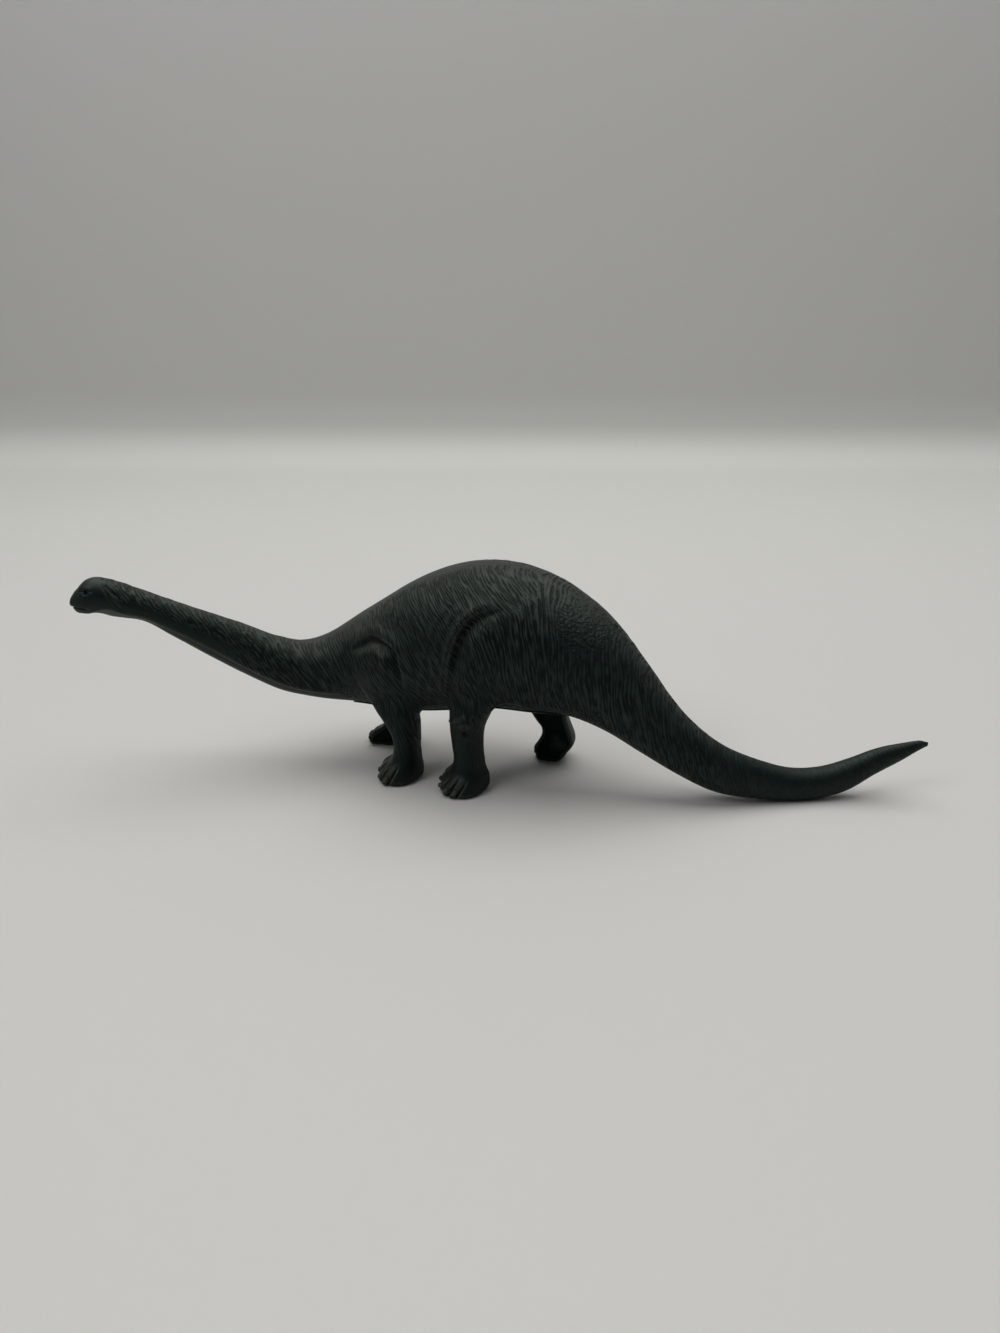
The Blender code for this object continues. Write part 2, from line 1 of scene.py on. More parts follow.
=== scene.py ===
import bmesh
import bpy
import numpy as np
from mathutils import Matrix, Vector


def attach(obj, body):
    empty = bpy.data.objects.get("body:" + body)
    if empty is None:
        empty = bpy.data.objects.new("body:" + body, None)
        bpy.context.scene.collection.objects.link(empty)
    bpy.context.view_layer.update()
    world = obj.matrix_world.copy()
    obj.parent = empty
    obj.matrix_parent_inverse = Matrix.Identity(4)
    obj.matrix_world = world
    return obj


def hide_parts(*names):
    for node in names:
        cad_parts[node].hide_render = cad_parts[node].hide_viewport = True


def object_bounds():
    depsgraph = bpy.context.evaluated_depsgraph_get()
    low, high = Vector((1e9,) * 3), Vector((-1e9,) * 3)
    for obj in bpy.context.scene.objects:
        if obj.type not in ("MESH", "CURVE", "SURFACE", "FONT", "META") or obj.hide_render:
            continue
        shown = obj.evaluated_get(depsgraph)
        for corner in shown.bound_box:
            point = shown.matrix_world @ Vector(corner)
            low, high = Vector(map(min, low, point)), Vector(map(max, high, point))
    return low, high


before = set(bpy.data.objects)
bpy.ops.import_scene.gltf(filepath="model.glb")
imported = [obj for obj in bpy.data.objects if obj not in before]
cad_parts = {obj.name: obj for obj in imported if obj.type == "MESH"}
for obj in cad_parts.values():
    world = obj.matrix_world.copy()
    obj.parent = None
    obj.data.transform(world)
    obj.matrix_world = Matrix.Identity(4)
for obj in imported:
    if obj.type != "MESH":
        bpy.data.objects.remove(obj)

cad_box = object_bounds()

# The two body shells. The real figure is moulded in one dark green-black plastic as a left and a right half,
# engraved all over with fine skin lines, and the halves are glued along the back. Each half carries the round
# outer walls of its own two legs. The shapes are laid out on a straight figure and swung into the pose last.

FIGURE_LENGTH = 0.3416
BACK_HEIGHT = 0.0896
BODY_WIDTH = 0.0590

# Place along the figure from the middle of its length, then top, bottom and width of the body there, as shares
BODY_SHARES = (
    (-0.500, 0.867, 0.852, 0.095),
    (-0.497, 0.883, 0.832, 0.130),
    (-0.494, 0.899, 0.812, 0.150),
    (-0.489, 0.916, 0.805, 0.180),
    (-0.483, 0.941, 0.802, 0.200),
    (-0.477, 0.952, 0.802, 0.215),
    (-0.468, 0.955, 0.796, 0.230),
    (-0.458, 0.945, 0.781, 0.240),
    (-0.446, 0.927, 0.770, 0.235),
    (-0.425, 0.890, 0.749, 0.220),
    (-0.395, 0.836, 0.669, 0.220),
    (-0.355, 0.766, 0.559, 0.250),
    (-0.315, 0.698, 0.456, 0.290),
    (-0.275, 0.624, 0.369, 0.345),
    (-0.246, 0.594, 0.336, 0.410),
    (-0.221, 0.613, 0.316, 0.475),
    (-0.186, 0.693, 0.307, 0.610),
    (-0.146, 0.797, 0.298, 0.780),
    (-0.106, 0.894, 0.296, 0.900),
    (-0.057, 0.973, 0.318, 0.980),
    (-0.007, 1.000, 0.350, 1.000),
    (0.043, 0.969, 0.352, 0.950),
    (0.092, 0.885, 0.343, 0.750),
    (0.132, 0.770, 0.289, 0.586),
    (0.172, 0.593, 0.205, 0.454),
    (0.212, 0.406, 0.122, 0.363),
    (0.251, 0.282, 0.051, 0.298),
    (0.301, 0.191, 0.012, 0.230),
    (0.351, 0.140, -0.004, 0.200),
    (0.381, 0.146, 0.003, 0.185),
    (0.411, 0.180, 0.036, 0.162),
    (0.440, 0.224, 0.105, 0.129),
    (0.470, 0.250, 0.169, 0.085),
    (0.493, 0.261, 0.224, 0.040),
    (0.500, 0.255, 0.236, 0.017),
)
WIDEST_SHARE = 0.48
BODY_POWER = 2.1

# Heading of the middle line in plan, in degrees from +X, at places along the figure
SWING_SHARES = (-0.500, -0.380, -0.290, -0.235, -0.177, -0.132, -0.060, 0.177, 0.220, 0.280, 0.353, 0.440, 0.500)
SWING_DEGREES = (17, 15, 14, 11, -3, -14, -15, -17, -12, 0, 5, 3, 0)
SWING_STEPS = 1001

# Each leg's rows from the sole up: height, front edge, rear edge and reach, as shares
LEFT_FORE_SHARES = (
    (0.000, -0.460, 0.400, 1.050),
    (0.020, -0.510, 0.440, 1.120),
    (0.066, -0.490, 0.450, 1.110),
    (0.107, -0.370, 0.440, 1.020),
    (0.148, -0.210, 0.420, 0.900),
    (0.213, -0.150, 0.405, 0.800),
    (0.311, -0.185, 0.410, 0.790),
    (0.420, -0.390, 0.410, 0.860),
    (0.541, -0.690, 0.385, 0.960),
    (0.689, -1.025, 0.310, 1.000),
    (0.820, -1.230, 0.270, 0.950),
    (0.934, -1.110, 0.150, 0.800),
    (1.000, -0.770, -0.120, 0.620),
)
RIGHT_FORE_SHARES = (
    (0.000, -0.450, 0.450, 0.900),
    (0.020, -0.500, 0.487, 0.965),
    (0.066, -0.480, 0.500, 0.965),
    (0.107, -0.370, 0.490, 0.930),
    (0.148, -0.236, 0.470, 0.860),
    (0.213, -0.174, 0.460, 0.800),
    (0.311, -0.185, 0.500, 0.790),
    (0.420, -0.287, 0.656, 0.860),
    (0.541, -0.420, 0.810, 0.960),
    (0.689, -0.523, 0.887, 1.000),
    (0.820, -0.533, 0.836, 0.950),
    (0.934, -0.395, 0.656, 0.800),
    (1.000, -0.113, 0.400, 0.620),
)
LEFT_HIND_SHARES = (
    (0.000, -0.440, 0.470, 0.920),
    (0.016, -0.490, 0.500, 0.990),
    (0.052, -0.475, 0.510, 0.985),
    (0.091, -0.370, 0.485, 0.925),
    (0.123, -0.270, 0.430, 0.820),
    (0.169, -0.220, 0.400, 0.750),
    (0.260, -0.250, 0.380, 0.740),
    (0.350, -0.280, 0.420, 0.800),
    (0.429, -0.280, 0.560, 0.890),
    (0.520, -0.255, 0.780, 0.960),
    (0.650, -0.170, 1.020, 1.000),
    (0.780, -0.050, 1.120, 0.985),
    (0.883, 0.130, 1.080, 0.900),
    (0.961, 0.400, 1.050, 0.720),
    (1.000, 0.700, 0.950, 0.560),
)
RIGHT_HIND_SHARES = (
    (0.000, -0.375, 0.025, 0.800),
    (0.020, -0.435, 0.125, 0.900),
    (0.058, -0.465, 0.220, 0.930),
    (0.117, -0.385, 0.360, 0.900),
    (0.143, -0.335, 0.350, 0.860),
    (0.182, -0.305, 0.300, 0.800),
    (0.247, -0.465, 0.220, 0.760),
    (0.300, -0.605, 0.175, 0.770),
    (0.364, -0.825, 0.125, 0.820),
    (0.442, -1.075, 0.050, 0.900),
    (0.520, -1.300, -0.025, 0.960),
    (0.650, -1.550, -0.150, 1.000),
    (0.780, -1.675, -0.225, 0.985),
    (0.883, -1.525, -0.300, 0.900),
    (0.961, -1.275, -0.475, 0.720),
    (1.000, -0.975, -0.675, 0.560),
)

# Length of the foot, height of the leg, distance of its flat side from the middle, its reach outwards from there,
# how far its muscle stands out of the flank, how much less at the rear, and the turns and number of its toes
FORE_LEG = {"foot": 0.0195, "height": 0.0610, "inset": 0.0115, "reach": 0.0138, "swell": 0.0018,
            "rear_fade": 0.0, "toes": (-0.45, 1.35, 4)}
HIND_LEG = {"foot": 0.0200, "height": 0.0770, "inset": 0.0145, "reach": 0.0160, "swell": 0.0026,
            "rear_fade": 0.75, "toes": (-0.50, 1.50, 5)}
LEG_POWER = 2.4
MUSCLE_POWER = 5.0
MUSCLE_RISE = 0.0120
SWELL_EDGE = 0.0050
SWELL_SINK = 0.0006
LEFT = -1.0
RIGHT = 1.0
LEGS = [
    {"name": name, "side": side, "place": share * FIGURE_LENGTH, "rows": np.array(rows), **kind}
    for name, side, share, rows, kind in (
        ("left_fore_leg", LEFT, -0.1145, LEFT_FORE_SHARES, FORE_LEG),
        ("left_hind_leg", LEFT, -0.0320, LEFT_HIND_SHARES, HIND_LEG),
        ("right_fore_leg", RIGHT, -0.1510, RIGHT_FORE_SHARES, FORE_LEG),
        ("right_hind_leg", RIGHT, 0.0545, RIGHT_HIND_SHARES, HIND_LEG),
    )
]
HIND_LEGS = LEGS[1::2]


def through(places, values, at):
    """A cubic curve through the given points, with each point's slope taken from its neighbours."""
    places = np.asarray(places, float)
    values = np.asarray(values, float)
    at = np.clip(at, places[0], places[-1])
    slopes = np.gradient(values, places)
    span = np.clip(np.searchsorted(places, at, side="right") - 1, 0, len(places) - 2)
    width = places[span + 1] - places[span]
    part = (at - places[span]) / width
    start = (1 + 2 * part) * (1 - part) ** 2
    leave = part * (1 - part) ** 2
    finish = part**2 * (3 - 2 * part)
    arrive = part**2 * (part - 1)
    level = start * values[span] + finish * values[span + 1]
    return level + width * (leave * slopes[span] + arrive * slopes[span + 1])


def smooth_step(value, low, high):
    """0 below low, 1 above high, and an S-shaped cubic between; the other way round where high is the lower one."""
    part = np.clip((value - low) / (high - low), 0, 1)
    return part * part * (3 - 2 * part)


def body_lines(x):
    """Top, bottom and half width of the body at places along the straight figure."""
    table = np.array(BODY_SHARES)
    share = np.asarray(x) / FIGURE_LENGTH
    top = through(table[:, 0], table[:, 1], share) * BACK_HEIGHT
    bottom = through(table[:, 0], table[:, 2], share) * BACK_HEIGHT
    half_width = through(table[:, 0], table[:, 3], share) * BODY_WIDTH / 2
    return top, bottom, half_width


def belly_surface(x, y):
    """Height of the body's underside at distance y from the middle."""
    top, bottom, half_width = body_lines(x)
    middle = bottom + (top - bottom) * WIDEST_SHARE
    out = np.clip(np.abs(y) / half_width, 0, 1) ** BODY_POWER
    return middle - (middle - bottom) * (1 - out) ** (1 / BODY_POWER)


def flank(x, z):
    """Distance of the body's side from the middle, at place x and height z."""
    top, bottom, half_width = body_lines(x)
    middle = bottom + (top - bottom) * WIDEST_SHARE
    reach = np.where(z > middle, top - middle, middle - bottom)
    out = np.clip(np.abs(z - middle) / reach, 0, 1) ** BODY_POWER
    return half_width * (1 - out) ** (1 / BODY_POWER)


def superellipse(turn, power):
    """Cosine and sine of a turn, each to the power 2/p, which squares a circle up as p grows."""
    along = np.sign(np.cos(turn)) * np.abs(np.cos(turn)) ** (2 / power)
    across = np.sign(np.sin(turn)) * np.abs(np.sin(turn)) ** (2 / power)
    return along, across


def body_rings(stations, around):
    """Whole sections of the body: superellipses whose upper and lower halves reach the top and bottom lines."""
    top, bottom, half_width = body_lines(stations)
    middle = bottom + (top - bottom) * WIDEST_SHARE
    turn = np.linspace(0, 2 * np.pi, around, endpoint=False)
    up, out = superellipse(turn, BODY_POWER)
    rise = np.where(up > 0, np.outer(top - middle, up), np.outer(middle - bottom, up))
    z = np.maximum(middle[:, None] + rise, 0)
    y = np.outer(half_width, out)
    x = np.repeat(stations[:, None], around, 1)
    return np.stack([x, y, z], axis=-1)


def leg_edges(leg, heights):
    """Front edge, rear edge and reach of a leg at the given heights."""
    table = leg["rows"]
    share = np.asarray(heights) / leg["height"]
    front = leg["place"] + through(table[:, 0], table[:, 1], share) * leg["foot"]
    rear = leg["place"] + through(table[:, 0], table[:, 2], share) * leg["foot"]
    reach = through(table[:, 0], table[:, 3], share) * leg["reach"]
    return front, rear, reach


def leg_rings(leg, rows, around):
    """Half round sections of a leg, flat side inwards, that swell out of the flank over the belly."""
    heights = np.linspace(0, leg["height"], rows)
    front, rear, reach = leg_edges(leg, heights)
    level = heights[:, None]
    belly = belly_surface(leg["place"], leg["inset"])
    muscle = smooth_step(level, belly, belly + MUSCLE_RISE)
    turn = np.linspace(0, np.pi, around)
    round_along, round_across = superellipse(turn, LEG_POWER)
    square_along, square_across = superellipse(turn, MUSCLE_POWER)
    along = round_along + (square_along - round_along) * muscle
    across = round_across + (square_across - round_across) * muscle
    x = (front + rear)[:, None] / 2 - (rear - front)[:, None] / 2 * along
    to_top = np.sqrt(np.clip((leg["height"] - level) / SWELL_EDGE, 0, 1))
    to_rear = 1 - leg["rear_fade"] * smooth_step(-along, -1, 1)
    swell = leg["swell"] * to_top * to_rear - SWELL_SINK * (1 - to_top)
    side = flank(x, level + 0 * x) + swell - leg["inset"]
    y = np.maximum((reach[:, None] + (side - reach[:, None]) * muscle) * across, 0)
    z = np.repeat(level, around, 1)
    return np.stack([x, leg["side"] * (leg["inset"] + y), z], axis=-1)


def middle_line(x):
    """Place and heading of the swung middle line, at a distance x along it from the middle of the length."""
    fine = np.linspace(SWING_SHARES[0], SWING_SHARES[-1], SWING_STEPS)
    heading = np.radians(through(SWING_SHARES, SWING_DEGREES, fine))
    halfway = (heading[1:] + heading[:-1]) / 2
    step = np.diff(fine) * FIGURE_LENGTH
    over = np.concatenate([[0.0], np.cumsum(step * np.cos(halfway))])
    aside = np.concatenate([[0.0], np.cumsum(step * np.sin(halfway))])
    share = x / FIGURE_LENGTH
    return np.interp(share, fine, over), np.interp(share, fine, aside), np.interp(share, fine, heading)


def swing(points):
    """Carries points of the straight figure to the pose: along the swung line, and square out from it."""
    over, aside, heading = middle_line(points[..., 0])
    x = over - points[..., 1] * np.sin(heading)
    y = aside + points[..., 1] * np.cos(heading)
    return np.stack([x, y, points[..., 2]], axis=-1)


def ring_faces(count, around, start=0):
    """Quads between neighbouring closed rings, and one flat face at each end."""
    here = np.arange(around)
    after = np.roll(here, -1)
    row = (np.arange(count - 1) * around)[:, None, None] + start
    quads = np.stack([here, after, after + around, here + around], 1)[None] + row
    ends = [here[::-1] + start, here + (count - 1) * around + start]
    return quads.reshape(-1, 4).tolist() + [end.tolist() for end in ends]


def mesh_through(name, lofts):
    """One mesh that holds a closed loft for each set of rings, with its faces outwards."""
    faces = []
    start = 0
    for rings in lofts:
        faces += ring_faces(*rings.shape[:2], start)
        start += rings.shape[0] * rings.shape[1]
    mesh = bpy.data.meshes.new(name)
    mesh.from_pydata(np.concatenate([rings.reshape(-1, 3) for rings in lofts]), [], faces)
    work = bmesh.new()
    work.from_mesh(mesh)
    bmesh.ops.recalc_face_normals(work, faces=work.faces)
    work.to_mesh(mesh)
    work.free()
    return mesh


def shown(name, mesh):
    """An object with this mesh, in the scene."""
    thing = bpy.data.objects.new(name, mesh)
    bpy.context.scene.collection.objects.link(thing)
    return thing


def baked(thing):
    """The mesh that an object's modifiers make; the object itself is dropped."""
    mesh = bpy.data.meshes.new_from_object(thing.evaluated_get(bpy.context.evaluated_depsgraph_get()))
    bpy.data.objects.remove(thing)
    return mesh


VOXEL = 0.00060


def fused(name, mesh):
    """One skin round overlapping closed shapes, as even quads one voxel wide."""
    thing = shown(name, mesh)
    remesh = thing.modifiers.new("one skin", "REMESH")
    remesh.mode = "VOXEL"
    remesh.voxel_size = VOXEL
    return baked(thing)


def read(items, name, width, kind):
    """The same few numbers of every item in a part of a mesh, as rows."""
    values = np.empty(len(items) * width, kind)
    items.foreach_get(name, values)
    return values.reshape(-1, width)


def points_of(mesh):
    return read(mesh.vertices, "co", 3, np.float32).astype(float)


def normals_of(mesh):
    return read(mesh.vertex_normals, "vector", 3, np.float32).astype(float)


def edges_of(mesh):
    return read(mesh.edges, "vertices", 2, np.int32)


def put_points(mesh, points):
    mesh.vertices.foreach_set("co", points.astype(np.float32).ravel())
    mesh.update()


def towards_neighbours(values, edges):
    """For each point, the mean of its neighbours' values less its own."""
    ends = np.concatenate([edges[:, 0], edges[:, 1]])
    others = np.concatenate([edges[:, 1], edges[:, 0]])
    count = len(values)
    share = 1 / np.maximum(np.bincount(ends, minlength=count), 1)
    columns = values.reshape(count, -1)
    mean = [np.bincount(ends, columns[others, k], count) * share for k in range(columns.shape[1])]
    return np.stack(mean, 1).reshape(values.shape) - values


def spread(values, edges, rounds):
    """Values averaged with their neighbours' again and again."""
    for _ in range(rounds):
        values = values + 0.5 * towards_neighbours(values, edges)
    return values


def bell(value, width):
    """A smooth hump of height 1 round zero: e to the power of minus the square of value over width."""
    return np.exp(-((value / width) ** 2))


def between(value, low, high, soft):
    """1 from low to high, fading to 0 over a soft edge outside them."""
    return smooth_step(value, low - soft, low) * (1 - smooth_step(value, high, high + soft))


# How the fused skin is evened: hollows fill up most, and so does the trunk between the shoulders and the hips
SKIN_ROUNDS = 3
BEND_ROUNDS = 2
HOLLOW_GAIN = 6.0
HOLLOW_SPREAD = 24
FILLET_ROUNDS = 60
TRUNK_SPAN = (-0.070, 0.030, 0.008)
TRUNK_HEIGHTS = (0.038, 0.048)
TRUNK_SHARE = 0.8


def filleted(mesh):
    """Rounds the inner corners where legs meet the body: points move towards their neighbours, most in hollows."""
    edges = edges_of(mesh)
    points = spread(points_of(mesh), edges, SKIN_ROUNDS)
    put_points(mesh, points)
    bend = (towards_neighbours(points, edges) * normals_of(mesh)).sum(1) / VOXEL
    hollow = spread(np.clip(spread(bend, edges, BEND_ROUNDS) * HOLLOW_GAIN, 0, 1), edges, HOLLOW_SPREAD)
    trunk = between(points[:, 0], *TRUNK_SPAN) * smooth_step(points[:, 2], *TRUNK_HEIGHTS)
    weight = 0.5 * np.clip(hollow * HOLLOW_GAIN + TRUNK_SHARE * trunk, 0, 1)[:, None]
    for _ in range(FILLET_ROUNDS):
        points = points + weight * towards_neighbours(points, edges)
    put_points(mesh, points)


# Creases round the shoulders and ahead of the thighs, as places and heights on the straight figure
LEFT_SHOULDER_CREASE = (
    (-0.0629, 0.0500), (-0.0600, 0.0560), (-0.0562, 0.0580), (-0.0485, 0.0613), (-0.0415, 0.0607),
    (-0.0363, 0.0583), (-0.0339, 0.0513), (-0.0328, 0.0410),
)
RIGHT_SHOULDER_CREASE = (
    (-0.0622, 0.0480), (-0.0605, 0.0560), (-0.0550, 0.0608), (-0.0488, 0.0622), (-0.0430, 0.0612),
    (-0.0385, 0.0572), (-0.0352, 0.0500), (-0.0343, 0.0420),
)
LEFT_HIP_CREASE = (
    (-0.0168, 0.0360), (-0.0150, 0.0440), (-0.0136, 0.0510), (-0.0122, 0.0577), (-0.0098, 0.0653),
    (-0.0069, 0.0705), (-0.0028, 0.0745), (0.0025, 0.0765), (0.0085, 0.0778),
)
RIGHT_HIP_CREASE = (
    (-0.0060, 0.0370), (-0.0105, 0.0440), (-0.0135, 0.0530), (-0.0148, 0.0600), (-0.0119, 0.0680),
    (-0.0069, 0.0740), (-0.0009, 0.0770), (0.0050, 0.0786),
)
PATH_RUNS = 40

# Across a crease: its depth, the width of its slope, the lip over it, the muscle's bulge and how far that lies off
SHOULDER_CREASE = (0.0023, 0.0021, 0.0009, 0.0013, 0.0056)
HIP_CREASE = (0.0024, 0.0028, 0.0016, 0.0010, 0.0070)
CREASE_STEEP = 0.0008
BULGE_WIDTH = 0.0030
LIP_WIDTH = 0.0026
LIP_OFF = 0.8

# Along a crease: where it fades in, where a share of it is lost, that share, and where it fades out
SHOULDER_RUN = ((0.0, 0.2), (0.7, 0.9), 0.6, (0.9, 1.0))
HIP_RUN = ((0.0, 0.2), (0.55, 0.25), 0.6, (0.72, 1.0))
SHOULDER_HOLLOW = (-0.0395, 0.0645, 0.0055)
SHOULDER_HOLLOW_DEPTH = 0.0009
FLANK_FOLD_DEPTH = 0.00030
FLANK_FOLD_PITCH = 0.0046
FLANK_FOLD_REACH = (0.0040, 0.0100, 0.003)
FLANK_FOLD_HEIGHTS = (0.0400, 0.0730, 0.008)


def smooth_path(places):
    """Short runs along a cubic curve through the given places."""
    places = np.array(places)
    along = np.concatenate([[0], np.cumsum(np.hypot(*np.diff(places, axis=0).T))])
    at = np.linspace(0, along[-1], PATH_RUNS + 1)
    return np.stack([through(along, places[:, 0], at), through(along, places[:, 1], at)], 1)


def beside(places, x, z):
    """Distance from the path through some places, positive on its left, and how far along it, from 0 to 1."""
    path = smooth_path(places)
    run = np.diff(path, axis=0)
    over = x[:, None] - path[:-1, 0]
    above = z[:, None] - path[:-1, 1]
    part = np.clip((over * run[:, 0] + above * run[:, 1]) / (run**2).sum(1), 0, 1)
    away = np.hypot(over - part * run[:, 0], above - part * run[:, 1])
    nearest = away.argmin(1)
    row = np.arange(len(x))
    turn = run[nearest, 0] * above[row, nearest] - run[nearest, 1] * over[row, nearest]
    return away[row, nearest] * np.where(turn > 0, 1, -1), (nearest + part[row, nearest]) / len(run)


def spot(x, z, place, height, reach):
    """A bell round one point of the side view."""
    return bell(np.hypot(x - place, z - height), reach)


def on_side(points, side):
    """Which points lie on one side's outer surface, fading over the middle millimetre."""
    return smooth_step(points[:, 1] * side, 0.0, 0.001)


def crease(away, depth, ease, lip, bulge, bulge_away):
    """Across a crease: a raised lip above it, a steep drop, a hollow that eases out below as e to the minus distance
    over its width, and the swell of the muscle beyond."""
    above = smooth_step(away, -CREASE_STEEP, CREASE_STEEP)
    below = depth * np.exp(np.minimum(away, 0) / ease) - bulge * bell(away + bulge_away, BULGE_WIDTH)
    return above * lip * bell(away - LIP_OFF * LIP_WIDTH, LIP_WIDTH) - (1 - above) * below


def crease_run(along, fade_in, weaker, loss, fade_out):
    """Along a crease: it fades in and out at its ends, and is weaker on one part."""
    whole = smooth_step(along, *fade_in) * (1 - smooth_step(along, *fade_out))
    return whole * (1 - loss * smooth_step(along, *weaker))


def muscle_relief(points):
    """Creases over the shoulders and ahead of the thighs, each under a fold of skin, and soft folds on the flank."""
    x, z = points[:, 0], points[:, 2]
    rise = np.zeros(len(points))
    for side, path in ((LEFT, LEFT_SHOULDER_CREASE), (RIGHT, RIGHT_SHOULDER_CREASE)):
        away, along = beside(path, x, z)
        hollow = SHOULDER_HOLLOW_DEPTH * spot(x, z, *SHOULDER_HOLLOW)
        hollow *= smooth_step(away, 0, SHOULDER_HOLLOW[2] / 3)
        over = crease(away, *SHOULDER_CREASE) * crease_run(along, *SHOULDER_RUN)
        rise += on_side(points, side) * (over - hollow)
    for side, path in ((LEFT, LEFT_HIP_CREASE), (RIGHT, RIGHT_HIP_CREASE)):
        away, along = beside(path, x, z)
        folds = FLANK_FOLD_DEPTH * np.cos(2 * np.pi * (away - LIP_WIDTH) / FLANK_FOLD_PITCH)
        folds *= between(away, *FLANK_FOLD_REACH) * between(z, *FLANK_FOLD_HEIGHTS)
        over = crease(away, *HIP_CREASE) * crease_run(along, *HIP_RUN)
        rise += on_side(points, side) * (over + folds)
    return rise


# Neck and head: the edge of the smooth strip under the neck as a share of the height there, the eye with its lid
# under the brow, the mouth, the lower jaw and the line behind the jaw
STRIP_SHARES = (
    (-0.480, 0.06), (-0.470, 0.18), (-0.459, 0.28), (-0.444, 0.21), (-0.390, 0.29), (-0.364, 0.30),
    (-0.308, 0.25), (-0.190, 0.22),
)
STRIP_START = (-0.164, -0.160)
STRIP_END = (-0.075, -0.066)
STRIP_SOFT = (-0.0006, 0.0001)
STRIP_DEPTH = 0.0001
STRIP_LIP = 0.0003
STRIP_LIP_WIDTH = 0.0006
EYE_PLACE = (-0.1645, 0.0811)
EYE_SIZE = (0.0008, 0.0006)
EYE_DEPTH = 0.0014
LID = (-0.1660, 0.0809, 0.00045)
LID_RISE = 0.0003
BROW = ((-0.1674, 0.0807), (-0.1664, 0.0812), (-0.1654, 0.0817), (-0.1635, 0.0817), (-0.1614, 0.0813))
BROW_RUN = (0.25, 0.8, 0.2)
BROW_RISE = 0.0002
BROW_DEPTH = 0.0006
BROW_WIDTH = 0.0004
MOUTH = ((-0.1720, 0.0753), (-0.1689, 0.0751), (-0.1670, 0.0748), (-0.1656, 0.0746), (-0.1640, 0.0742))
MOUTH_CORNER = (0.75, 1.0)
MOUTH_DEPTH = 0.0008
MOUTH_WIDTH = 0.00035
LOWER_JAW_EDGE = (-0.0003, 0.0001)
LOWER_JAW_REAR = (-0.1675, -0.164)
CHIN_HEIGHTS = (0.070, 0.0715)
JAW_STEP = 0.0002
JAW_LINE = (
    (-0.1586, 0.0850), (-0.1577, 0.0829), (-0.1563, 0.0800),
    (-0.1552, 0.0774), (-0.1540, 0.0757), (-0.1515, 0.0730),
)
JAW_LINE_RUN = (0.2, 0.85, 0.15)
JAW_LINE_DEPTH = 0.0003
JAW_LINE_WIDTH = 0.0006


def strip_edge(points):
    """Height of a point over the edge of the smooth strip that runs under the neck."""
    top, bottom, _ = body_lines(points[:, 0])
    shares = np.array(STRIP_SHARES)
    edge = through(shares[:, 0], shares[:, 1], points[:, 0] / FIGURE_LENGTH)
    return points[:, 2] - bottom - edge * (top - bottom)


def strip_share(points):
    """1 on the smooth strip under the neck and 0 above it."""
    neck = smooth_step(points[:, 0], *STRIP_START) * (1 - smooth_step(points[:, 0], *STRIP_END))
    return neck * (1 - smooth_step(strip_edge(points), *STRIP_SOFT))


def strip_lip(points):
    """1 on the lip along the strip's edge: a bell across it."""
    return (1 - smooth_step(points[:, 0], *STRIP_END)) * bell(strip_edge(points), STRIP_LIP_WIDTH)


def head_relief(points):
    """The strip under the neck, and the eye, brow, mouth, jaw and the line behind it: bells beside short paths."""
    x, z = points[:, 0], points[:, 2]
    rise = STRIP_LIP * strip_lip(points) - STRIP_DEPTH * strip_share(points)
    rise -= EYE_DEPTH * bell(np.hypot((x - EYE_PLACE[0]) / EYE_SIZE[0], (z - EYE_PLACE[1]) / EYE_SIZE[1]), 1.0)
    rise += LID_RISE * spot(x, z, *LID)
    away, along = beside(BROW, x, z)
    brow = BROW_RISE * bell(away - 2 * BROW_WIDTH, 2 * BROW_WIDTH) - BROW_DEPTH * bell(away, BROW_WIDTH)
    rise += brow * between(along, *BROW_RUN)
    away, along = beside(MOUTH, x, z)
    rise -= MOUTH_DEPTH * bell(away, MOUTH_WIDTH) * (1 - smooth_step(along, *MOUTH_CORNER))
    lower_jaw = (1 - smooth_step(away, *LOWER_JAW_EDGE)) * (1 - smooth_step(x, *LOWER_JAW_REAR))
    rise -= JAW_STEP * lower_jaw * smooth_step(z, *CHIN_HEIGHTS)
    away, along = beside(JAW_LINE, x, z)
    return rise - JAW_LINE_DEPTH * bell(away, JAW_LINE_WIDTH) * between(along, *JAW_LINE_RUN)


# Feet: toes that slant back as they rise, with grooves between them and a small nail low on each. Sizes across the
# toes are shares of a toe, and sizes of the foot are shares of its half length and of its reach
TOE_GROOVE_DEPTH = 0.00085
TOE_GROOVE_WIDTH = 0.15
TOE_BULGE = 0.00060
TOE_LEVEL = 0.004
TOE_TOP = 0.0082
TOE_FADE = (0.60, 1.10)
TOE_INNER = (-0.02, 0.12)
TOE_SLANT = 0.50
FOOT_SPAN = 1.6
NAIL_HEIGHT = 0.0031
NAIL_SIZE = (0.30, 0.0013)
NAIL_EDGE = (0.5, 1.0)
NAIL_RISE = 0.00055
NAIL_RIM_PLACE = 1.15
NAIL_RIM_WIDTH = 0.2
NAIL_RIM = 0.00040
NAIL_HIGHLIGHT_EDGE = (0.6, 1.1)


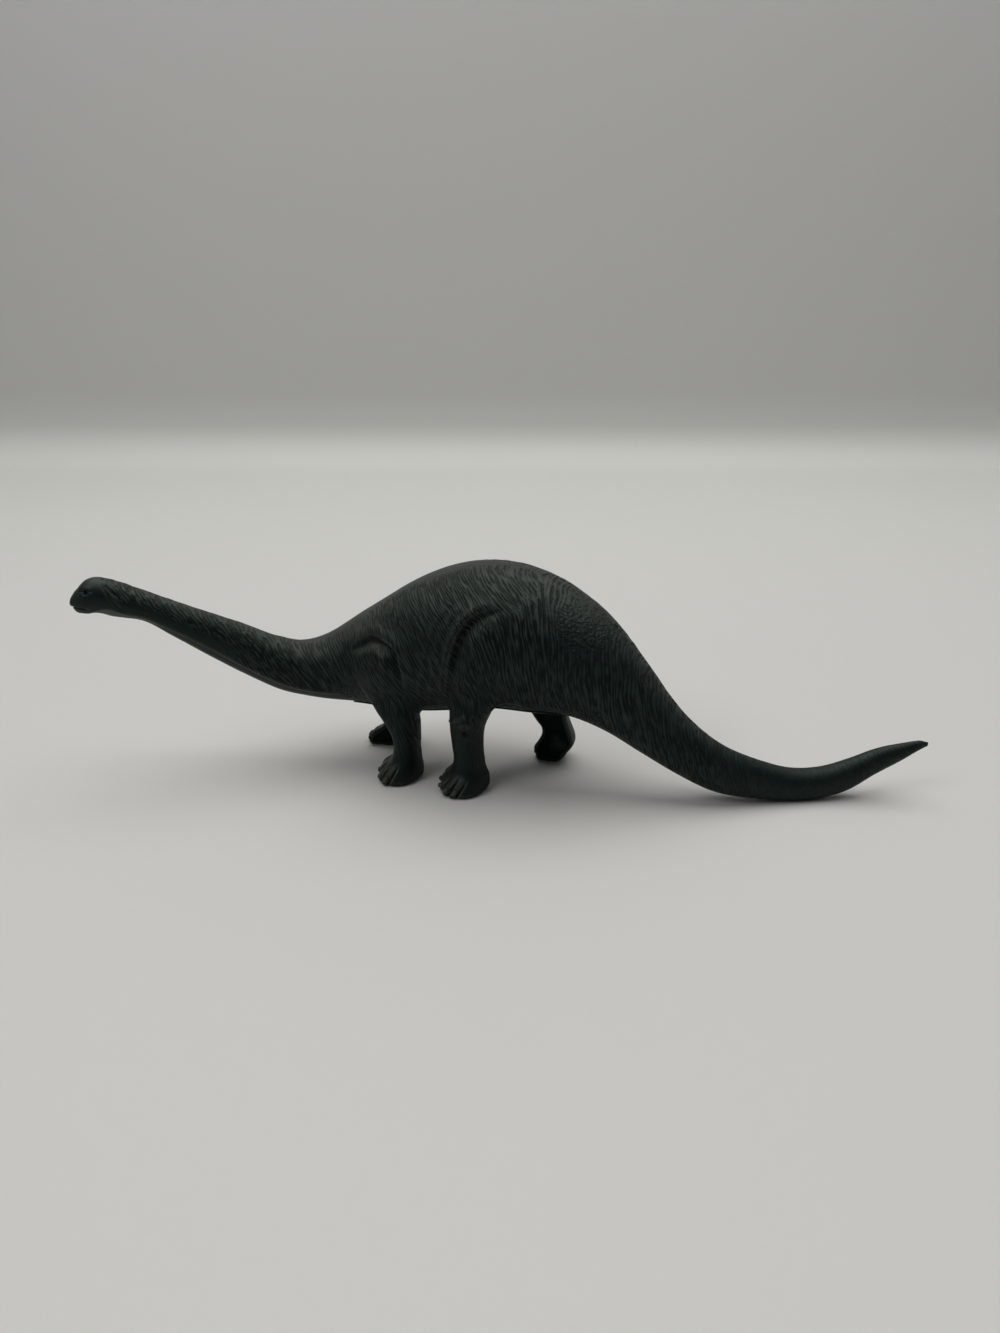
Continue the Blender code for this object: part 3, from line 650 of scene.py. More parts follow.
def foot_relief(points):
    """Toes: each is a swell between two grooves, at even turns round the foot's front and outer side, with a nail.

    Gives how far the skin moves, and where the nails are, from 0 to 1."""
    x, y, z = points.T
    rise = np.zeros(len(points))
    nailed = np.zeros(len(points))
    for leg in LEGS:
        front, rear, reach = leg_edges(leg, TOE_LEVEL)
        over = (2 * x - front - rear) / (rear - front)
        out = (leg["side"] * y - leg["inset"]) / reach
        up = np.maximum(z, 0) / TOE_TOP
        fade = (1 - smooth_step(up, *TOE_FADE)) * smooth_step(out, *TOE_INNER)
        fade *= (np.abs(over) < FOOT_SPAN) & (out < FOOT_SPAN)
        first, last, count = leg["toes"]
        place = (np.arctan2(out, -over) - TOE_SLANT * up - first) / (last - first) * count
        groove = TOE_GROOVE_DEPTH * bell(place - np.clip(np.round(place), 0, count), TOE_GROOVE_WIDTH)
        toe = (place >= 0) & (place < count)
        middle = place - np.floor(place) - 0.5
        nail = np.hypot(middle / NAIL_SIZE[0], (z - NAIL_HEIGHT) / NAIL_SIZE[1])
        swell = TOE_BULGE * (1 - (2 * middle) ** 2) + NAIL_RISE * (1 - smooth_step(nail, *NAIL_EDGE))
        swell -= NAIL_RIM * bell(nail - NAIL_RIM_PLACE, NAIL_RIM_WIDTH)
        rise += (toe * swell - groove) * fade
        nailed += toe * (1 - smooth_step(nail, *NAIL_HIGHLIGHT_EDGE)) * fade
    return rise, nailed


# Knees of the hind legs: a crest and a fold, each with its rise and its path, a round cap, and a dimple under it, as
# places behind the leg's front edge and heights
KNEE_LEVEL = 0.031
KNEE_LINES = (
    (0.0013, ((0.0015, 0.0312), (0.0045, 0.0326), (0.0075, 0.0336), (0.0105, 0.0352))),
    (-0.0006, ((0.0128, 0.0355), (0.0130, 0.0322), (0.0122, 0.0285))),
)
KNEE_LINE_RUN = (0.2, 0.8, 0.2)
KNEE_LINE_WIDTH = 0.0007
KNEE_CAP = (0.0090, 0.0309)
KNEE_CAP_EDGE = (0.00144, 0.00288)
KNEE_CAP_RISE = 0.0012
KNEE_DIMPLE = (0.0090, 0.0270, 0.0012)
KNEE_DIMPLE_DEPTH = 0.0018
KNEE_OUTER = (0.3, 0.6)


def knee_relief(points):
    """Bells across the crest and the fold and round the dimple, and a plateau for the cap."""
    y, z = points[:, 1], points[:, 2]
    rise = np.zeros(len(points))
    for leg in HIND_LEGS:
        over = points[:, 0] - leg_edges(leg, KNEE_LEVEL)[0]
        from_cap = np.hypot(over - KNEE_CAP[0], z - KNEE_CAP[1])
        marks = KNEE_CAP_RISE * (1 - smooth_step(from_cap, *KNEE_CAP_EDGE))
        marks -= KNEE_DIMPLE_DEPTH * spot(over, z, *KNEE_DIMPLE)
        for amount, path in KNEE_LINES:
            away, along = beside(path, over, z)
            marks += amount * bell(away, KNEE_LINE_WIDTH) * between(along, *KNEE_LINE_RUN)
        rise += marks * smooth_step((leg["side"] * y - leg["inset"]) / leg["reach"], *KNEE_OUTER)
    return rise


# The lip along the lower edge of the flank behind the left hind leg, as places and heights
REAR_LIP = (
    (-0.0005, 0.0325), (0.0010, 0.0345), (0.0056, 0.0385),
    (0.0101, 0.0398), (0.0160, 0.0380), (0.0210, 0.0352),
)
REAR_LIP_RUN = (0.15, 0.85, 0.15)
REAR_LIP_RISE = 0.0006
REAR_LIP_DROP = 0.0009
REAR_LIP_WIDTH = 0.0006


def lip_relief(points):
    """A raised lip with a hollow under it: one bell on each side of a short path."""
    away, along = beside(REAR_LIP, points[:, 0], points[:, 2])
    lip = REAR_LIP_RISE * bell(away - REAR_LIP_WIDTH, REAR_LIP_WIDTH)
    lip -= REAR_LIP_DROP * bell(away + REAR_LIP_WIDTH, REAR_LIP_WIDTH)
    return lip * between(along, *REAR_LIP_RUN) * on_side(points, LEFT)


# Skin lines: the angle of the engraving from the vertical along the figure, ahead of the hips and behind them, and
# how much steeper it gets towards the upper back
FRONT_LEAN = (
    (-0.500, 35), (-0.440, 34), (-0.350, 33), (-0.250, 34), (-0.200, 34), (-0.120, 31), (0.0, 30), (0.500, 30),
)
REAR_LEAN = ((-0.500, 7), (0.050, 7), (0.100, 4), (0.160, 10), (0.300, 22), (0.500, 34))
FRONT_STEEPER = 60.0
REAR_STEEPER = 130.0
STEEPER_FROM = 0.060
STEEPER_START = (-0.085, -0.060)
LEAN_STEPS = 400
GRAIN_PITCH = 0.00122
GRAIN_LENGTH = 0.0050
TRUNK_LEVEL = 0.050
TAIL_LEVEL = 0.012
LEVEL_DROP = (0.06, 0.11)
WAVE_LENGTH = 0.0075
WAVE = 0.30

# Where the lines get shorter: a place, its height and the side of it, towards the head or the tail
SHORTER_LINES = ((-0.095, 0.062, -1.0), (0.072, 0.032, 1.0))
SHORTER_SOFT = 0.025
SHORTER = 0.9
LEG_SPAN = (-0.070, 0.045)
LEG_INSIDE = 0.010
LEG_OUTSIDE = 0.0260
LEG_LINE_HEIGHTS = (0.030, 0.042)
LATTICE = 64
rng = np.random.default_rng(7)
lattice_values = rng.uniform(-1, 1, (LATTICE, LATTICE, LATTICE))


def value_noise(places):
    """Smooth noise from -1 to 1: random values at whole places, eased between the eight round each point."""
    base = np.floor(places).astype(np.int64)
    part = places - base
    ease = part * part * (3 - 2 * part)
    total = np.zeros(len(places))
    for corner in np.ndindex(2, 2, 2):
        weight = np.where(corner, ease, 1 - ease).prod(1)
        i, j, k = ((base + corner) % LATTICE).T
        total += weight * lattice_values[i, j, k]
    return total


def grain(points, degrees, steeper):
    """Where a point lies across and along the skin lines, counted in their pitch and in their length.

    Across is the place along the figure, leaning with height by the angle of the engraving, and along is square to
    it. Both lean more on the upper back. On the legs the distance from the middle counts as across too, so the
    lines run down them all round. A slow noise makes the lines wavy, and the neck and tail have shorter ones.
    """
    x, y, z = points.T
    table = np.array(degrees)
    fine = np.linspace(-0.5, 0.5, LEAN_STEPS)
    lean = np.radians(through(table[:, 0], table[:, 1], fine))
    step = FIGURE_LENGTH * (fine[1] - fine[0])

    def above_level(x, z):
        return z - (TRUNK_LEVEL + (TAIL_LEVEL - TRUNK_LEVEL) * smooth_step(x, *LEVEL_DROP))

    def run_of(x, z):
        share = x / FIGURE_LENGTH
        down = np.interp(share, fine, np.cumsum(np.sin(lean)) * step)
        return above_level(x, z) * np.cos(np.interp(share, fine, lean)) - down

    more = steeper / 2 * smooth_step(x, *STEEPER_START) * np.maximum(z - STEEPER_FROM, 0) ** 2
    share = x / FIGURE_LENGTH
    across = np.interp(share, fine, np.cumsum(np.cos(lean)) * step)
    across += (above_level(x, z) + more) * np.sin(np.interp(share, fine, lean))
    along = run_of(x, z)
    for middle, height, sign in SHORTER_LINES:
        beyond = smooth_step(sign * (x - middle), -SHORTER_SOFT, SHORTER_SOFT)
        along = along + (along - run_of(middle, height)) * SHORTER * beyond
    legs = (np.abs(y) > LEG_INSIDE) & (x > LEG_SPAN[0]) & (x < LEG_SPAN[1])
    finer_y = legs * (1 - smooth_step(z, *LEG_LINE_HEIGHTS)) * (GRAIN_LENGTH / GRAIN_PITCH - 1)
    along_y = (y + finer_y * (np.abs(y) - LEG_OUTSIDE)) / GRAIN_LENGTH
    wave = value_noise(points / WAVE_LENGTH) * WAVE
    return np.stack([across / GRAIN_PITCH + wave, along_y, along / GRAIN_LENGTH], 1)


# Where the upright lines begin, leaning back with height over a level, and the heights below which legs have them
REAR_FROM = -0.010
REAR_HIGH = 0.058
REAR_SLANT = 1.05
REAR_SOFT = 0.008
LOW_LEG_HEIGHTS = (0.030, 0.044)
LOW_LEG_FROM = -0.075


def rear_share(points):
    """0 on the neck and trunk, 1 on thighs, rump, tail and low on the legs, where the lines are upright."""
    x, z = points[:, 0], points[:, 2]
    start = REAR_FROM + REAR_SLANT * np.maximum(z - REAR_HIGH, 0)
    behind = smooth_step(x - start, -REAR_SOFT, REAR_SOFT)
    low = (1 - smooth_step(z, *LOW_LEG_HEIGHTS)) * (x > LOW_LEG_FROM)
    return np.maximum(behind, low)


RUMP_PLACE = (0.038, 0.074)
RUMP_REACH = 0.0105
RUMP_FLATTER = 0.8
RUMP_GAIN = 1.3
RUMP_MOST = 0.85
RUMP_HEIGHTS = (0.04, 0.06)


def rump_share(points):
    """1 on the top of the rump, where the skin is crumbled into short lines, fading to 0 round it."""
    x, z = points[:, 0], points[:, 2]
    round_it = bell(np.hypot(x - RUMP_PLACE[0], (z - RUMP_PLACE[1]) * RUMP_FLATTER), RUMP_REACH)
    return np.clip(RUMP_GAIN * round_it, 0, RUMP_MOST) * smooth_step(z, *RUMP_HEIGHTS)


# Half width of the plain band along the back, at places along the figure, and how far its edge fades in and out
BACK_BAND = ((-0.270, 0.0), (-0.170, 0.0065), (-0.060, 0.0085), (0.000, 0.0030), (0.040, 0.0))
BAND_LEAST = 0.0002
BAND_EDGE = (-0.0015, 0.0025)
JAW_EDGE = (-0.0003, 0.0012)
STRIP_LINES = (-0.0002, 0.0004)
BELLY_SHARES = (0.05, 0.20)
BELLY_DROP = 0.0004
FLANK_FROM = 0.011
FLANK_LEAST = 0.6
FORE_LINES_END = -0.028
FORE_LINES = (0.008, 0.034)
HIND_LINES = (0.023, 0.040)
LEG_LEAST = 0.12
INNER_TOP = 0.036
INNER_NORMALS = (-0.25, 0.15)
FEET_END = 0.050
FOOT_LINES = (0.0075, 0.0110)
PATCH_SIZE = 0.009
PATCH_SHIFT = 5
PATCH_MEAN = 0.85
PATCH_SPREAD = 0.25
DEEPEST = 1.6

# Gains and losses of depth, each with the places, heights or shares of the body's height where it holds
UPPER_BACK_GAIN = 0.8
UPPER_BACK_HEIGHTS = (0.060, 0.074)
UPPER_BACK_SPAN = (-0.060, 0.020, 0.015)
NAPE = (-0.1535, 0.0805, 0.0060)
NAPE_GAIN = 1.0
NECK_CALM = 0.80
NECK_CALM_SPAN = (-0.1570, -0.1150, 0.010)
NECK_CALM_SHARES = (0.24, 0.58, 0.10)
NECK_TOP_GAIN = 0.7
NECK_TOP_END = (-0.085, -0.070)
NECK_TOP_SHARES = (0.66, 0.92, 0.10)
TAIL_CALM = 0.70
TAIL_CALM_START = (0.070, 0.110)


def engraving(points, normals):
    """How deeply the skin lines are cut, 0 to 1.6: not on the face, belly, inner legs or feet."""
    x, y, z = points.T
    top, bottom, _ = body_lines(x)
    depth = smooth_step(beside(JAW_LINE, x, z)[0], *JAW_EDGE)
    band = np.array(BACK_BAND)
    half = through(band[:, 0], band[:, 1], x / FIGURE_LENGTH)
    off_band = smooth_step(np.abs(y), half + BAND_EDGE[0], half + BAND_EDGE[1])
    depth *= np.where(half > BAND_LEAST, off_band, 1)
    depth *= np.where(x < STRIP_END[1], smooth_step(strip_edge(points), *STRIP_LINES), 1)
    share = (z - bottom) / np.maximum(top - bottom, 0.001)
    body = smooth_step(share, *BELLY_SHARES)
    body = np.where(np.abs(y) > FLANK_FROM, np.maximum(body, FLANK_LEAST), body)
    leg = np.where(x < FORE_LINES_END, smooth_step(z, *FORE_LINES), smooth_step(z, *HIND_LINES))
    depth *= np.where(z < bottom - BELLY_DROP, LEG_LEAST + (1 - LEG_LEAST) * leg, body)
    outward = normals[:, 1] * np.where(y > 0, 1, -1)
    depth *= np.where(z < INNER_TOP, smooth_step(outward, *INNER_NORMALS), 1)
    depth *= np.where(x < FEET_END, smooth_step(z, *FOOT_LINES), 1)
    depth *= value_noise(points / PATCH_SIZE + PATCH_SHIFT) * PATCH_SPREAD + PATCH_MEAN
    depth *= 1 + UPPER_BACK_GAIN * smooth_step(z, *UPPER_BACK_HEIGHTS) * between(x, *UPPER_BACK_SPAN)
    depth *= 1 + NAPE_GAIN * spot(x, z, *NAPE)
    depth *= 1 - NECK_CALM * between(x, *NECK_CALM_SPAN) * between(share, *NECK_CALM_SHARES)
    depth *= 1 + NECK_TOP_GAIN * (1 - smooth_step(x, *NECK_TOP_END)) * between(share, *NECK_TOP_SHARES)
    depth *= 1 - TAIL_CALM * smooth_step(x, *TAIL_CALM_START)
    return np.clip(depth, 0, DEEPEST)


# The line of the moulding along the back, with a nub of flash on the rump: its place, reach and height
FLASH_RISE = 0.00012
FLASH_WIDTH = 0.00035
FLASH_TOOTH = 0.0016
FLASH_ROUGH = 0.6
FLASH_NORMALS = (0.2, 0.5)
FLASH_START = (-0.157, -0.150)
FLASH_NUB = (0.0452, 0.0011, 0.0007)


def back_relief(points, normals):
    """A hair of flash where the halves meet along the back, rough along its length, and one nub."""
    x, y = points[:, 0], points[:, 1]
    rough = FLASH_ROUGH + FLASH_ROUGH * value_noise(np.stack([x / FLASH_TOOTH, 0 * x, 0 * x + 3], 1))
    line = FLASH_RISE * rough * bell(y, FLASH_WIDTH) * smooth_step(normals[:, 2], *FLASH_NORMALS)
    place, reach, height = FLASH_NUB
    nub = height * bell(x - place, reach) * bell(y, FLASH_WIDTH * 2) * (normals[:, 2] > 0)
    return line * smooth_step(x, *FLASH_START) + nub


FINE_HEAD_END = -0.1500
FINE_FOOT_TOP = 0.0100
FINE_FEET_END = 0.045
FINE_ROUNDS = 3
SOLE_TOP = 0.0002


def refined(mesh):
    """The head and the feet with each face cut in four, so that small forms have points to stand on."""
    work = bmesh.new()
    work.from_mesh(mesh)
    fine = [
        edge for edge in work.edges
        if all(p.co.x < FINE_HEAD_END or p.co.x < FINE_FEET_END and p.co.z < FINE_FOOT_TOP for p in edge.verts)
    ]
    bmesh.ops.subdivide_edges(work, edges=fine, cuts=1, use_grid_fill=True)
    work.to_mesh(mesh)
    work.free()
    points = points_of(mesh)
    low = (points[:, 2] < FINE_FOOT_TOP) & (points[:, 2] > SOLE_TOP)
    weight = 0.5 * ((points[:, 0] < FINE_HEAD_END) | low)[:, None]
    edges = edges_of(mesh)
    for _ in range(FINE_ROUNDS):
        points = points + weight * towards_neighbours(points, edges)
    put_points(mesh, points)


LINE_DEPTH = 0.00011
LINE_NOISE_SCALE = 0.8


def moulded(mesh):
    """Moves the skin out or in along its normals by the sum of all the relief."""
    points = points_of(mesh)
    normals = normals_of(mesh)
    rise = muscle_relief(points) + head_relief(points) + foot_relief(points)[0] + knee_relief(points)
    rise += back_relief(points, normals) + lip_relief(points)
    front = value_noise(grain(points, FRONT_LEAN, FRONT_STEEPER) * LINE_NOISE_SCALE)
    rear = value_noise(grain(points, REAR_LEAN, REAR_STEEPER) * LINE_NOISE_SCALE)
    lines = front + (rear - front) * rear_share(points)
    points = points + normals * (rise + LINE_DEPTH * lines * engraving(points, normals))[:, None]
    points[:, 2] = np.maximum(points[:, 2], 0)
    put_points(mesh, points)


BODY_STATIONS = 480
BODY_AROUND = 120
LEG_ROWS = 120
LEG_AROUND = 64

stations = np.linspace(BODY_SHARES[0][0], BODY_SHARES[-1][0], BODY_STATIONS) * FIGURE_LENGTH
plain_rings = [body_rings(stations, BODY_AROUND)] + [leg_rings(leg, LEG_ROWS, LEG_AROUND) for leg in LEGS]
posed = np.concatenate([swing(rings).reshape(-1, 3) for rings in plain_rings])
POSE_CENTRE = (posed.min(0) + posed.max(0)) / 2 * (1, 1, 0)

skin = fused("skin", mesh_through("plain_shapes", plain_rings))
filleted(skin)
refined(skin)
moulded(skin)

# The seam, the walls, and the room in the shells for the belly panel and the leg covers
SEAM_HALF_GAP = 0.00004
LEG_WALL = 0.0015
CUT_OVERRUN = 0.0010
PANEL_THICKNESS = 0.0020
PANEL_STEP = 0.0006
PANEL_LEG_GAP = 0.0005
PANEL_AHEAD = 0.0055
PANEL_BEHIND = 0.0100
PANEL_ROUND = 0.0090
PANEL_END_SHARE = 0.5
PANEL_CROWDING = 0.85
PANEL_STATIONS = 150
PANEL_ACROSS = 41
COVER_THICKNESS = 0.0018
COVER_RECESS = 0.0002
FIT_GAP = 0.0002
COVER_ROWS = 60
ROLL_STEPS = 9
SHARP_DEGREES = 50


def leg_edges_inside(leg, heights):
    """A leg's edges moved in by its wall at right angles to the surface: a circle of its radius rolls inside."""
    steps = np.linspace(-1, 1, ROLL_STEPS)
    drop = steps * LEG_WALL
    inward = np.sqrt(1 - steps**2) * LEG_WALL
    front, rear, _ = leg_edges(leg, np.asarray(heights)[:, None] + drop)
    return (front + inward).max(1), (rear - inward).min(1)


def cover_rings(leg, grow, near, far):
    """Four-sided rings up the inner side of a leg, just inside its wall, between two distances from the middle."""
    under_body = belly_surface(leg["place"], leg["inset"])
    heights = np.linspace(LEG_WALL + FIT_GAP - grow, under_body + PANEL_THICKNESS + grow, COVER_ROWS)
    front, rear = leg_edges_inside(leg, heights)
    front = front + FIT_GAP - grow
    rear = rear - FIT_GAP + grow
    x = np.stack([front, rear, rear, front], 1)
    y = leg["side"] * np.tile([near, near, far, far], (COVER_ROWS, 1))
    z = np.repeat(heights[:, None], 4, 1)
    return np.stack([x, y, z], axis=-1)


def panel_ends():
    """Front end and rear end of the belly panel, and the place between where it widens for the hind legs."""
    edges = [leg_edges(leg, belly_surface(leg["place"], leg["inset"])) for leg in LEGS]
    fronts = [float(edge[0]) for edge in edges]
    rears = [float(edge[1]) for edge in edges]
    widening = (max(rears[0], rears[2]) + min(fronts[1], fronts[3])) / 2
    return min(fronts) - PANEL_AHEAD, max(rears) + PANEL_BEHIND, widening


def panel_half_width(x):
    """Half the belly panel's width: it just clears the flat sides of the legs, and is round at its ends."""
    start, end, widening = panel_ends()
    hind_part = smooth_step(x, widening - PANEL_ROUND / 2, widening + PANEL_ROUND / 2)
    half = FORE_LEG["inset"] + (HIND_LEG["inset"] - FORE_LEG["inset"]) * hind_part - PANEL_LEG_GAP
    from_end = np.clip(np.minimum(x - start, end - x) / PANEL_ROUND, 0, 1)
    return half * (PANEL_END_SHARE + (1 - PANEL_END_SHARE) * np.sqrt(1 - (1 - from_end) ** 2))


def panel_stations():
    """Places along the panel, closer together where its ends are round."""
    start, end, _ = panel_ends()
    share = np.linspace(0, 1, PANEL_STATIONS)
    return start + (end - start) * (share - np.sin(2 * np.pi * share) / (2 * np.pi) * PANEL_CROWDING)


def panel_opening_rings():
    """The room for the panel in the shells: as wide as the panel and its gap, and a panel's thickness deep."""
    x = panel_stations()
    half = (panel_half_width(x) + FIT_GAP)[:, None] * np.linspace(-1, 1, PANEL_ACROSS)
    wide = np.repeat(x[:, None], PANEL_ACROSS, 1)
    wide[0] -= FIT_GAP
    wide[-1] += FIT_GAP
    deep = belly_surface(wide, half) + PANEL_THICKNESS
    low = np.full_like(deep, -CUT_OVERRUN)
    upper = np.stack([wide, half, deep], -1)
    lower = np.stack([wide, half, low], -1)
    return np.concatenate([lower, upper[:, ::-1]], axis=1)


def block_rings(side):
    """A block that holds one half of the straight figure, from the seam outwards."""
    near = side * SEAM_HALF_GAP
    far = side * BODY_WIDTH
    low, high = -BACK_HEIGHT, 2 * BACK_HEIGHT
    ring = np.array([(0, near, low), (0, far, low), (0, far, high), (0, near, high)])
    return np.stack([ring + (end * FIGURE_LENGTH, 0, 0) for end in (-1, 1)])


def cut(mesh, name, operation, rings):
    """The mesh after a Boolean with the closed loft through these rings."""
    thing = shown(name, mesh)
    cutter = shown(name + "_cutter", mesh_through(name + "_cutter", [rings]))
    boolean = thing.modifiers.new("cut", "BOOLEAN")
    boolean.operation = operation
    boolean.object = cutter
    boolean.solver = "MANIFOLD"
    result = baked(thing)
    bpy.data.objects.remove(cutter)
    return result


# Lighter marks on the skin: partly wear and partly painted highlight on rims, by the skin's bend, and painted
# highlight by place and by which way it faces
RIM_BENDS = (150.0, 650.0)
SHORTEST_EDGE = 0.0001
SEAM_CLEAR = (0.0005, 0.0012)
HEAD_RIM_SHARE = 0.15
HEAD_RIM_END = (-0.160, -0.157)
# Less of the rim wear and painted highlight on the knees
KNEE_RIM_CUT = 0.40
KNEE_RIM_CUT_HEIGHTS = (0.026, 0.036, 0.003)
KNEE_RIM_CUT_SPAN = (-0.030, 0.045)
# Painted highlight on surfaces that face up, by place along the figure
TOP_HIGHLIGHT = (
    (-0.5, 0.75), (-0.3, 0.85), (-0.2, 0.65), (0.0, 0.55), (0.12, 0.40),
    (0.2, 0.12), (0.34, 0.12), (0.42, 0.45), (0.5, 0.45),
)
TOP_NORMALS = (0.35, 0.95)
EYE_CLEAR = 0.0022
# Painted highlight on the throat and along the lip of the neck's strip
STRIP_HIGHLIGHT = 0.85
THROAT_END = (-0.148, -0.138)
UNDER_NORMALS = (0.60, 0.85)
LIP_HIGHLIGHT_START = (-0.162, -0.156)
# Painted highlight on the toes and nails, and a lighter face
TOE_HIGHLIGHT = 0.55
NAIL_HIGHLIGHT = 0.60
FACE_LIGHTENING = 0.30
FACE_END = (-0.1690, -0.1640)


def wear_and_highlight_share(mesh):
    """How much the skin is lightened, 0 to 1, the most of several marks: partly wear and partly painted highlight
    where it stands out, painted highlight on tops, toes, nails, throat and the lip of the neck's strip, and a
    lighter face. How far it stands out is its bend, which is twice the step from the neighbours' mean over the
    square of their distance."""
    points, normals, edges = points_of(mesh), normals_of(mesh), edges_of(mesh)
    x, y, z = points.T
    up = normals[:, 2]
    long = np.linalg.norm(points[edges[:, 0]] - points[edges[:, 1]], axis=1)
    count = np.maximum(np.bincount(edges.ravel(), minlength=len(points)), 1)
    reach = np.bincount(edges.ravel(), np.repeat(long, 2), len(points)) / count
    bend = -2 * (towards_neighbours(points, edges) * normals).sum(1) / np.maximum(reach, SHORTEST_EDGE) ** 2
    # Partly wear and partly painted highlight along rims, where the skin stands out
    out = spread(smooth_step(bend, *RIM_BENDS), edges, 1) * smooth_step(np.abs(y), *SEAM_CLEAR)
    out *= HEAD_RIM_SHARE + (1 - HEAD_RIM_SHARE) * smooth_step(x, *HEAD_RIM_END)
    knees = between(z, *KNEE_RIM_CUT_HEIGHTS) * (x > KNEE_RIM_CUT_SPAN[0]) * (x < KNEE_RIM_CUT_SPAN[1])
    out *= 1 - KNEE_RIM_CUT * knees
    # Painted highlight on tops that face up
    table = np.array(TOP_HIGHLIGHT)
    tops = through(table[:, 0], table[:, 1], x / FIGURE_LENGTH) * smooth_step(up, *TOP_NORMALS)
    tops *= 1 - spot(x, z, *EYE_PLACE, EYE_CLEAR)
    # Painted highlight on the throat and the strip's lip
    throat = strip_share(points) * (1 - smooth_step(x, *THROAT_END)) * (1 - smooth_step(-up, *UNDER_NORMALS))
    strip = STRIP_HIGHLIGHT * np.maximum(throat, strip_lip(points) * smooth_step(x, *LIP_HIGHLIGHT_START))
    # Painted highlight on the toes and nails
    swell, nailed = foot_relief(points)
    toes = TOE_HIGHLIGHT * np.clip(swell / TOE_BULGE, 0, 1) + NAIL_HIGHLIGHT * nailed
    face = FACE_LIGHTENING * (1 - smooth_step(x, *FACE_END))
    return np.maximum.reduce([out, tops, toes, face, strip])


def put_skin(mesh):
    """Stores what the plastic's material reads at each point: its places in the two grains, how deeply the lines
    are cut, how crumbled they are, how far the rear grain takes over, and the share of wear and painted highlight."""
    points = points_of(mesh)
    layers = {
        "front_grain": grain(points, FRONT_LEAN, FRONT_STEEPER),
        "rear_grain": grain(points, REAR_LEAN, REAR_STEEPER),
        "cut": np.stack([engraving(points, normals_of(mesh)), rump_share(points), rear_share(points)], 1),
    }
    for name, values in layers.items():
        layer = mesh.attributes.new(name, "FLOAT_VECTOR", "POINT")
        layer.data.foreach_set("vector", values.astype(np.float32).ravel())
    mesh.attributes.new("wear_and_highlight", "FLOAT", "POINT").data.foreach_set("value", wear_and_highlight_share(mesh).astype(np.float32))


def posed_mesh(mesh):
    """Swings a mesh of the straight figure into its pose, within the solids' box, smooth but for its sharp edges."""
    put_points(mesh, np.clip(swing(points_of(mesh)) - POSE_CENTRE, *cad_box))
    mesh.shade_smooth()
    mesh.set_sharp_from_angle(angle=np.radians(SHARP_DEGREES))


class Wire:
    """An output socket in a material. Sums, differences and products of wires and numbers add Math nodes."""

    def __init__(self, tree, socket=None):
        self.tree = tree
        self.socket = socket

    def node(self, kind, settings=None, sockets=None, output=0):
        """Adds a node of this kind: first its settings, then a value or a wire for each socket named."""
        made = self.tree.nodes.new(kind)
        for key, value in (settings or {}).items():
            setattr(made, key, value)
        for key, value in (sockets or {}).items():
            if isinstance(value, Wire):
                self.tree.links.new(value.socket, made.inputs[key])
            else:
                made.inputs[key].default_value = value
        return Wire(self.tree, made.outputs[output])

    def maths(self, operation, *values):
        return self.node("ShaderNodeMath", {"operation": operation}, dict(enumerate(values)))

    def __add__(self, other):
        return self.maths("ADD", self, other)

    def __sub__(self, other):
        return self.maths("SUBTRACT", self, other)

    def __rsub__(self, other):
        return self.maths("SUBTRACT", other, self)

    def __mul__(self, other):
        return self.maths("MULTIPLY", self, other)

    __radd__ = __add__
    __rmul__ = __mul__

    def sine(self):
        return self.maths("SINE", self)

    def step(self, low, high):
        """0 below low, 1 above high, and smooth between."""
        return self.node("ShaderNodeMapRange", {"interpolation_type": "SMOOTHSTEP"},
                         {"Value": self, "From Min": low, "From Max": high})

    def mix(self, first, second):
        """A colour between two, by this share."""
        return self.node("ShaderNodeMix", {"data_type": "RGBA"}, {"Factor": self, 6: first, 7: second}, 2)

    def noise(self, scale, detail):
        """Noise read at these places."""
        return self.node("ShaderNodeTexNoise", sockets={"Vector": self, "Scale": scale, "Detail": detail})

    def part(self, axis):
        """One part of a vector, by its name or its number."""
        return self.node("ShaderNodeSeparateXYZ", sockets={0: self}, output=axis)


SPECULAR_TINT = (0.74, 1.0, 0.96, 1)
PORE_SCALE = 2600.0
PORE_DETAIL = 2.0
PORE_BUMP = 0.000008
MOTTLE_SCALE = 95.0
MOTTLE_DETAIL = 4.0


def plastic(name, specular_level):
    """A material for the figure's plastic: itself, its shader, and wires for places, pores and mottling."""
    material = bpy.data.materials.new(name)
    material.use_nodes = True
    shader = material.node_tree.nodes["Principled BSDF"]
    shader.inputs["Specular IOR Level"].default_value = specular_level
    shader.inputs["Specular Tint"].default_value = SPECULAR_TINT
    place = Wire(material.node_tree).node("ShaderNodeTexCoord", output="Object")
    pores = place.noise(PORE_SCALE, PORE_DETAIL)
    return material, shader, place, pores, place.noise(MOTTLE_SCALE, MOTTLE_DETAIL)


def feed(shader, colour, rough, height):
    """Wires a shader's colour, its roughness and, through a bump, its normal."""
    bump = height.node("ShaderNodeBump", sockets={"Height": height, "Distance": 1.0, "Strength": 1.0})
    for name, wire in (("Base Color", colour), ("Roughness", rough), ("Normal", bump)):
        wire.tree.links.new(wire.socket, shader.inputs[name])


# The skin's colours, with painted shade in its grooves and painted highlight on its ridges and rims, its shine, and
# how its lines wander, break up and crumble
PLASTIC_COLOUR = (0.0030, 0.0068, 0.0064, 1)
# Painted shade: the grooves are coloured darker, for the shade that falls in them
GROOVE_SHADE_COLOUR = (0.0004, 0.0012, 0.0012, 1)
# Painted highlight: the ridges between the grooves are coloured lighter, for the light they catch; the smooth
# plastic uses the same colour for its real scuffs
RIDGE_HIGHLIGHT_AND_SCUFF_COLOUR = (0.0230, 0.0330, 0.0290, 1)
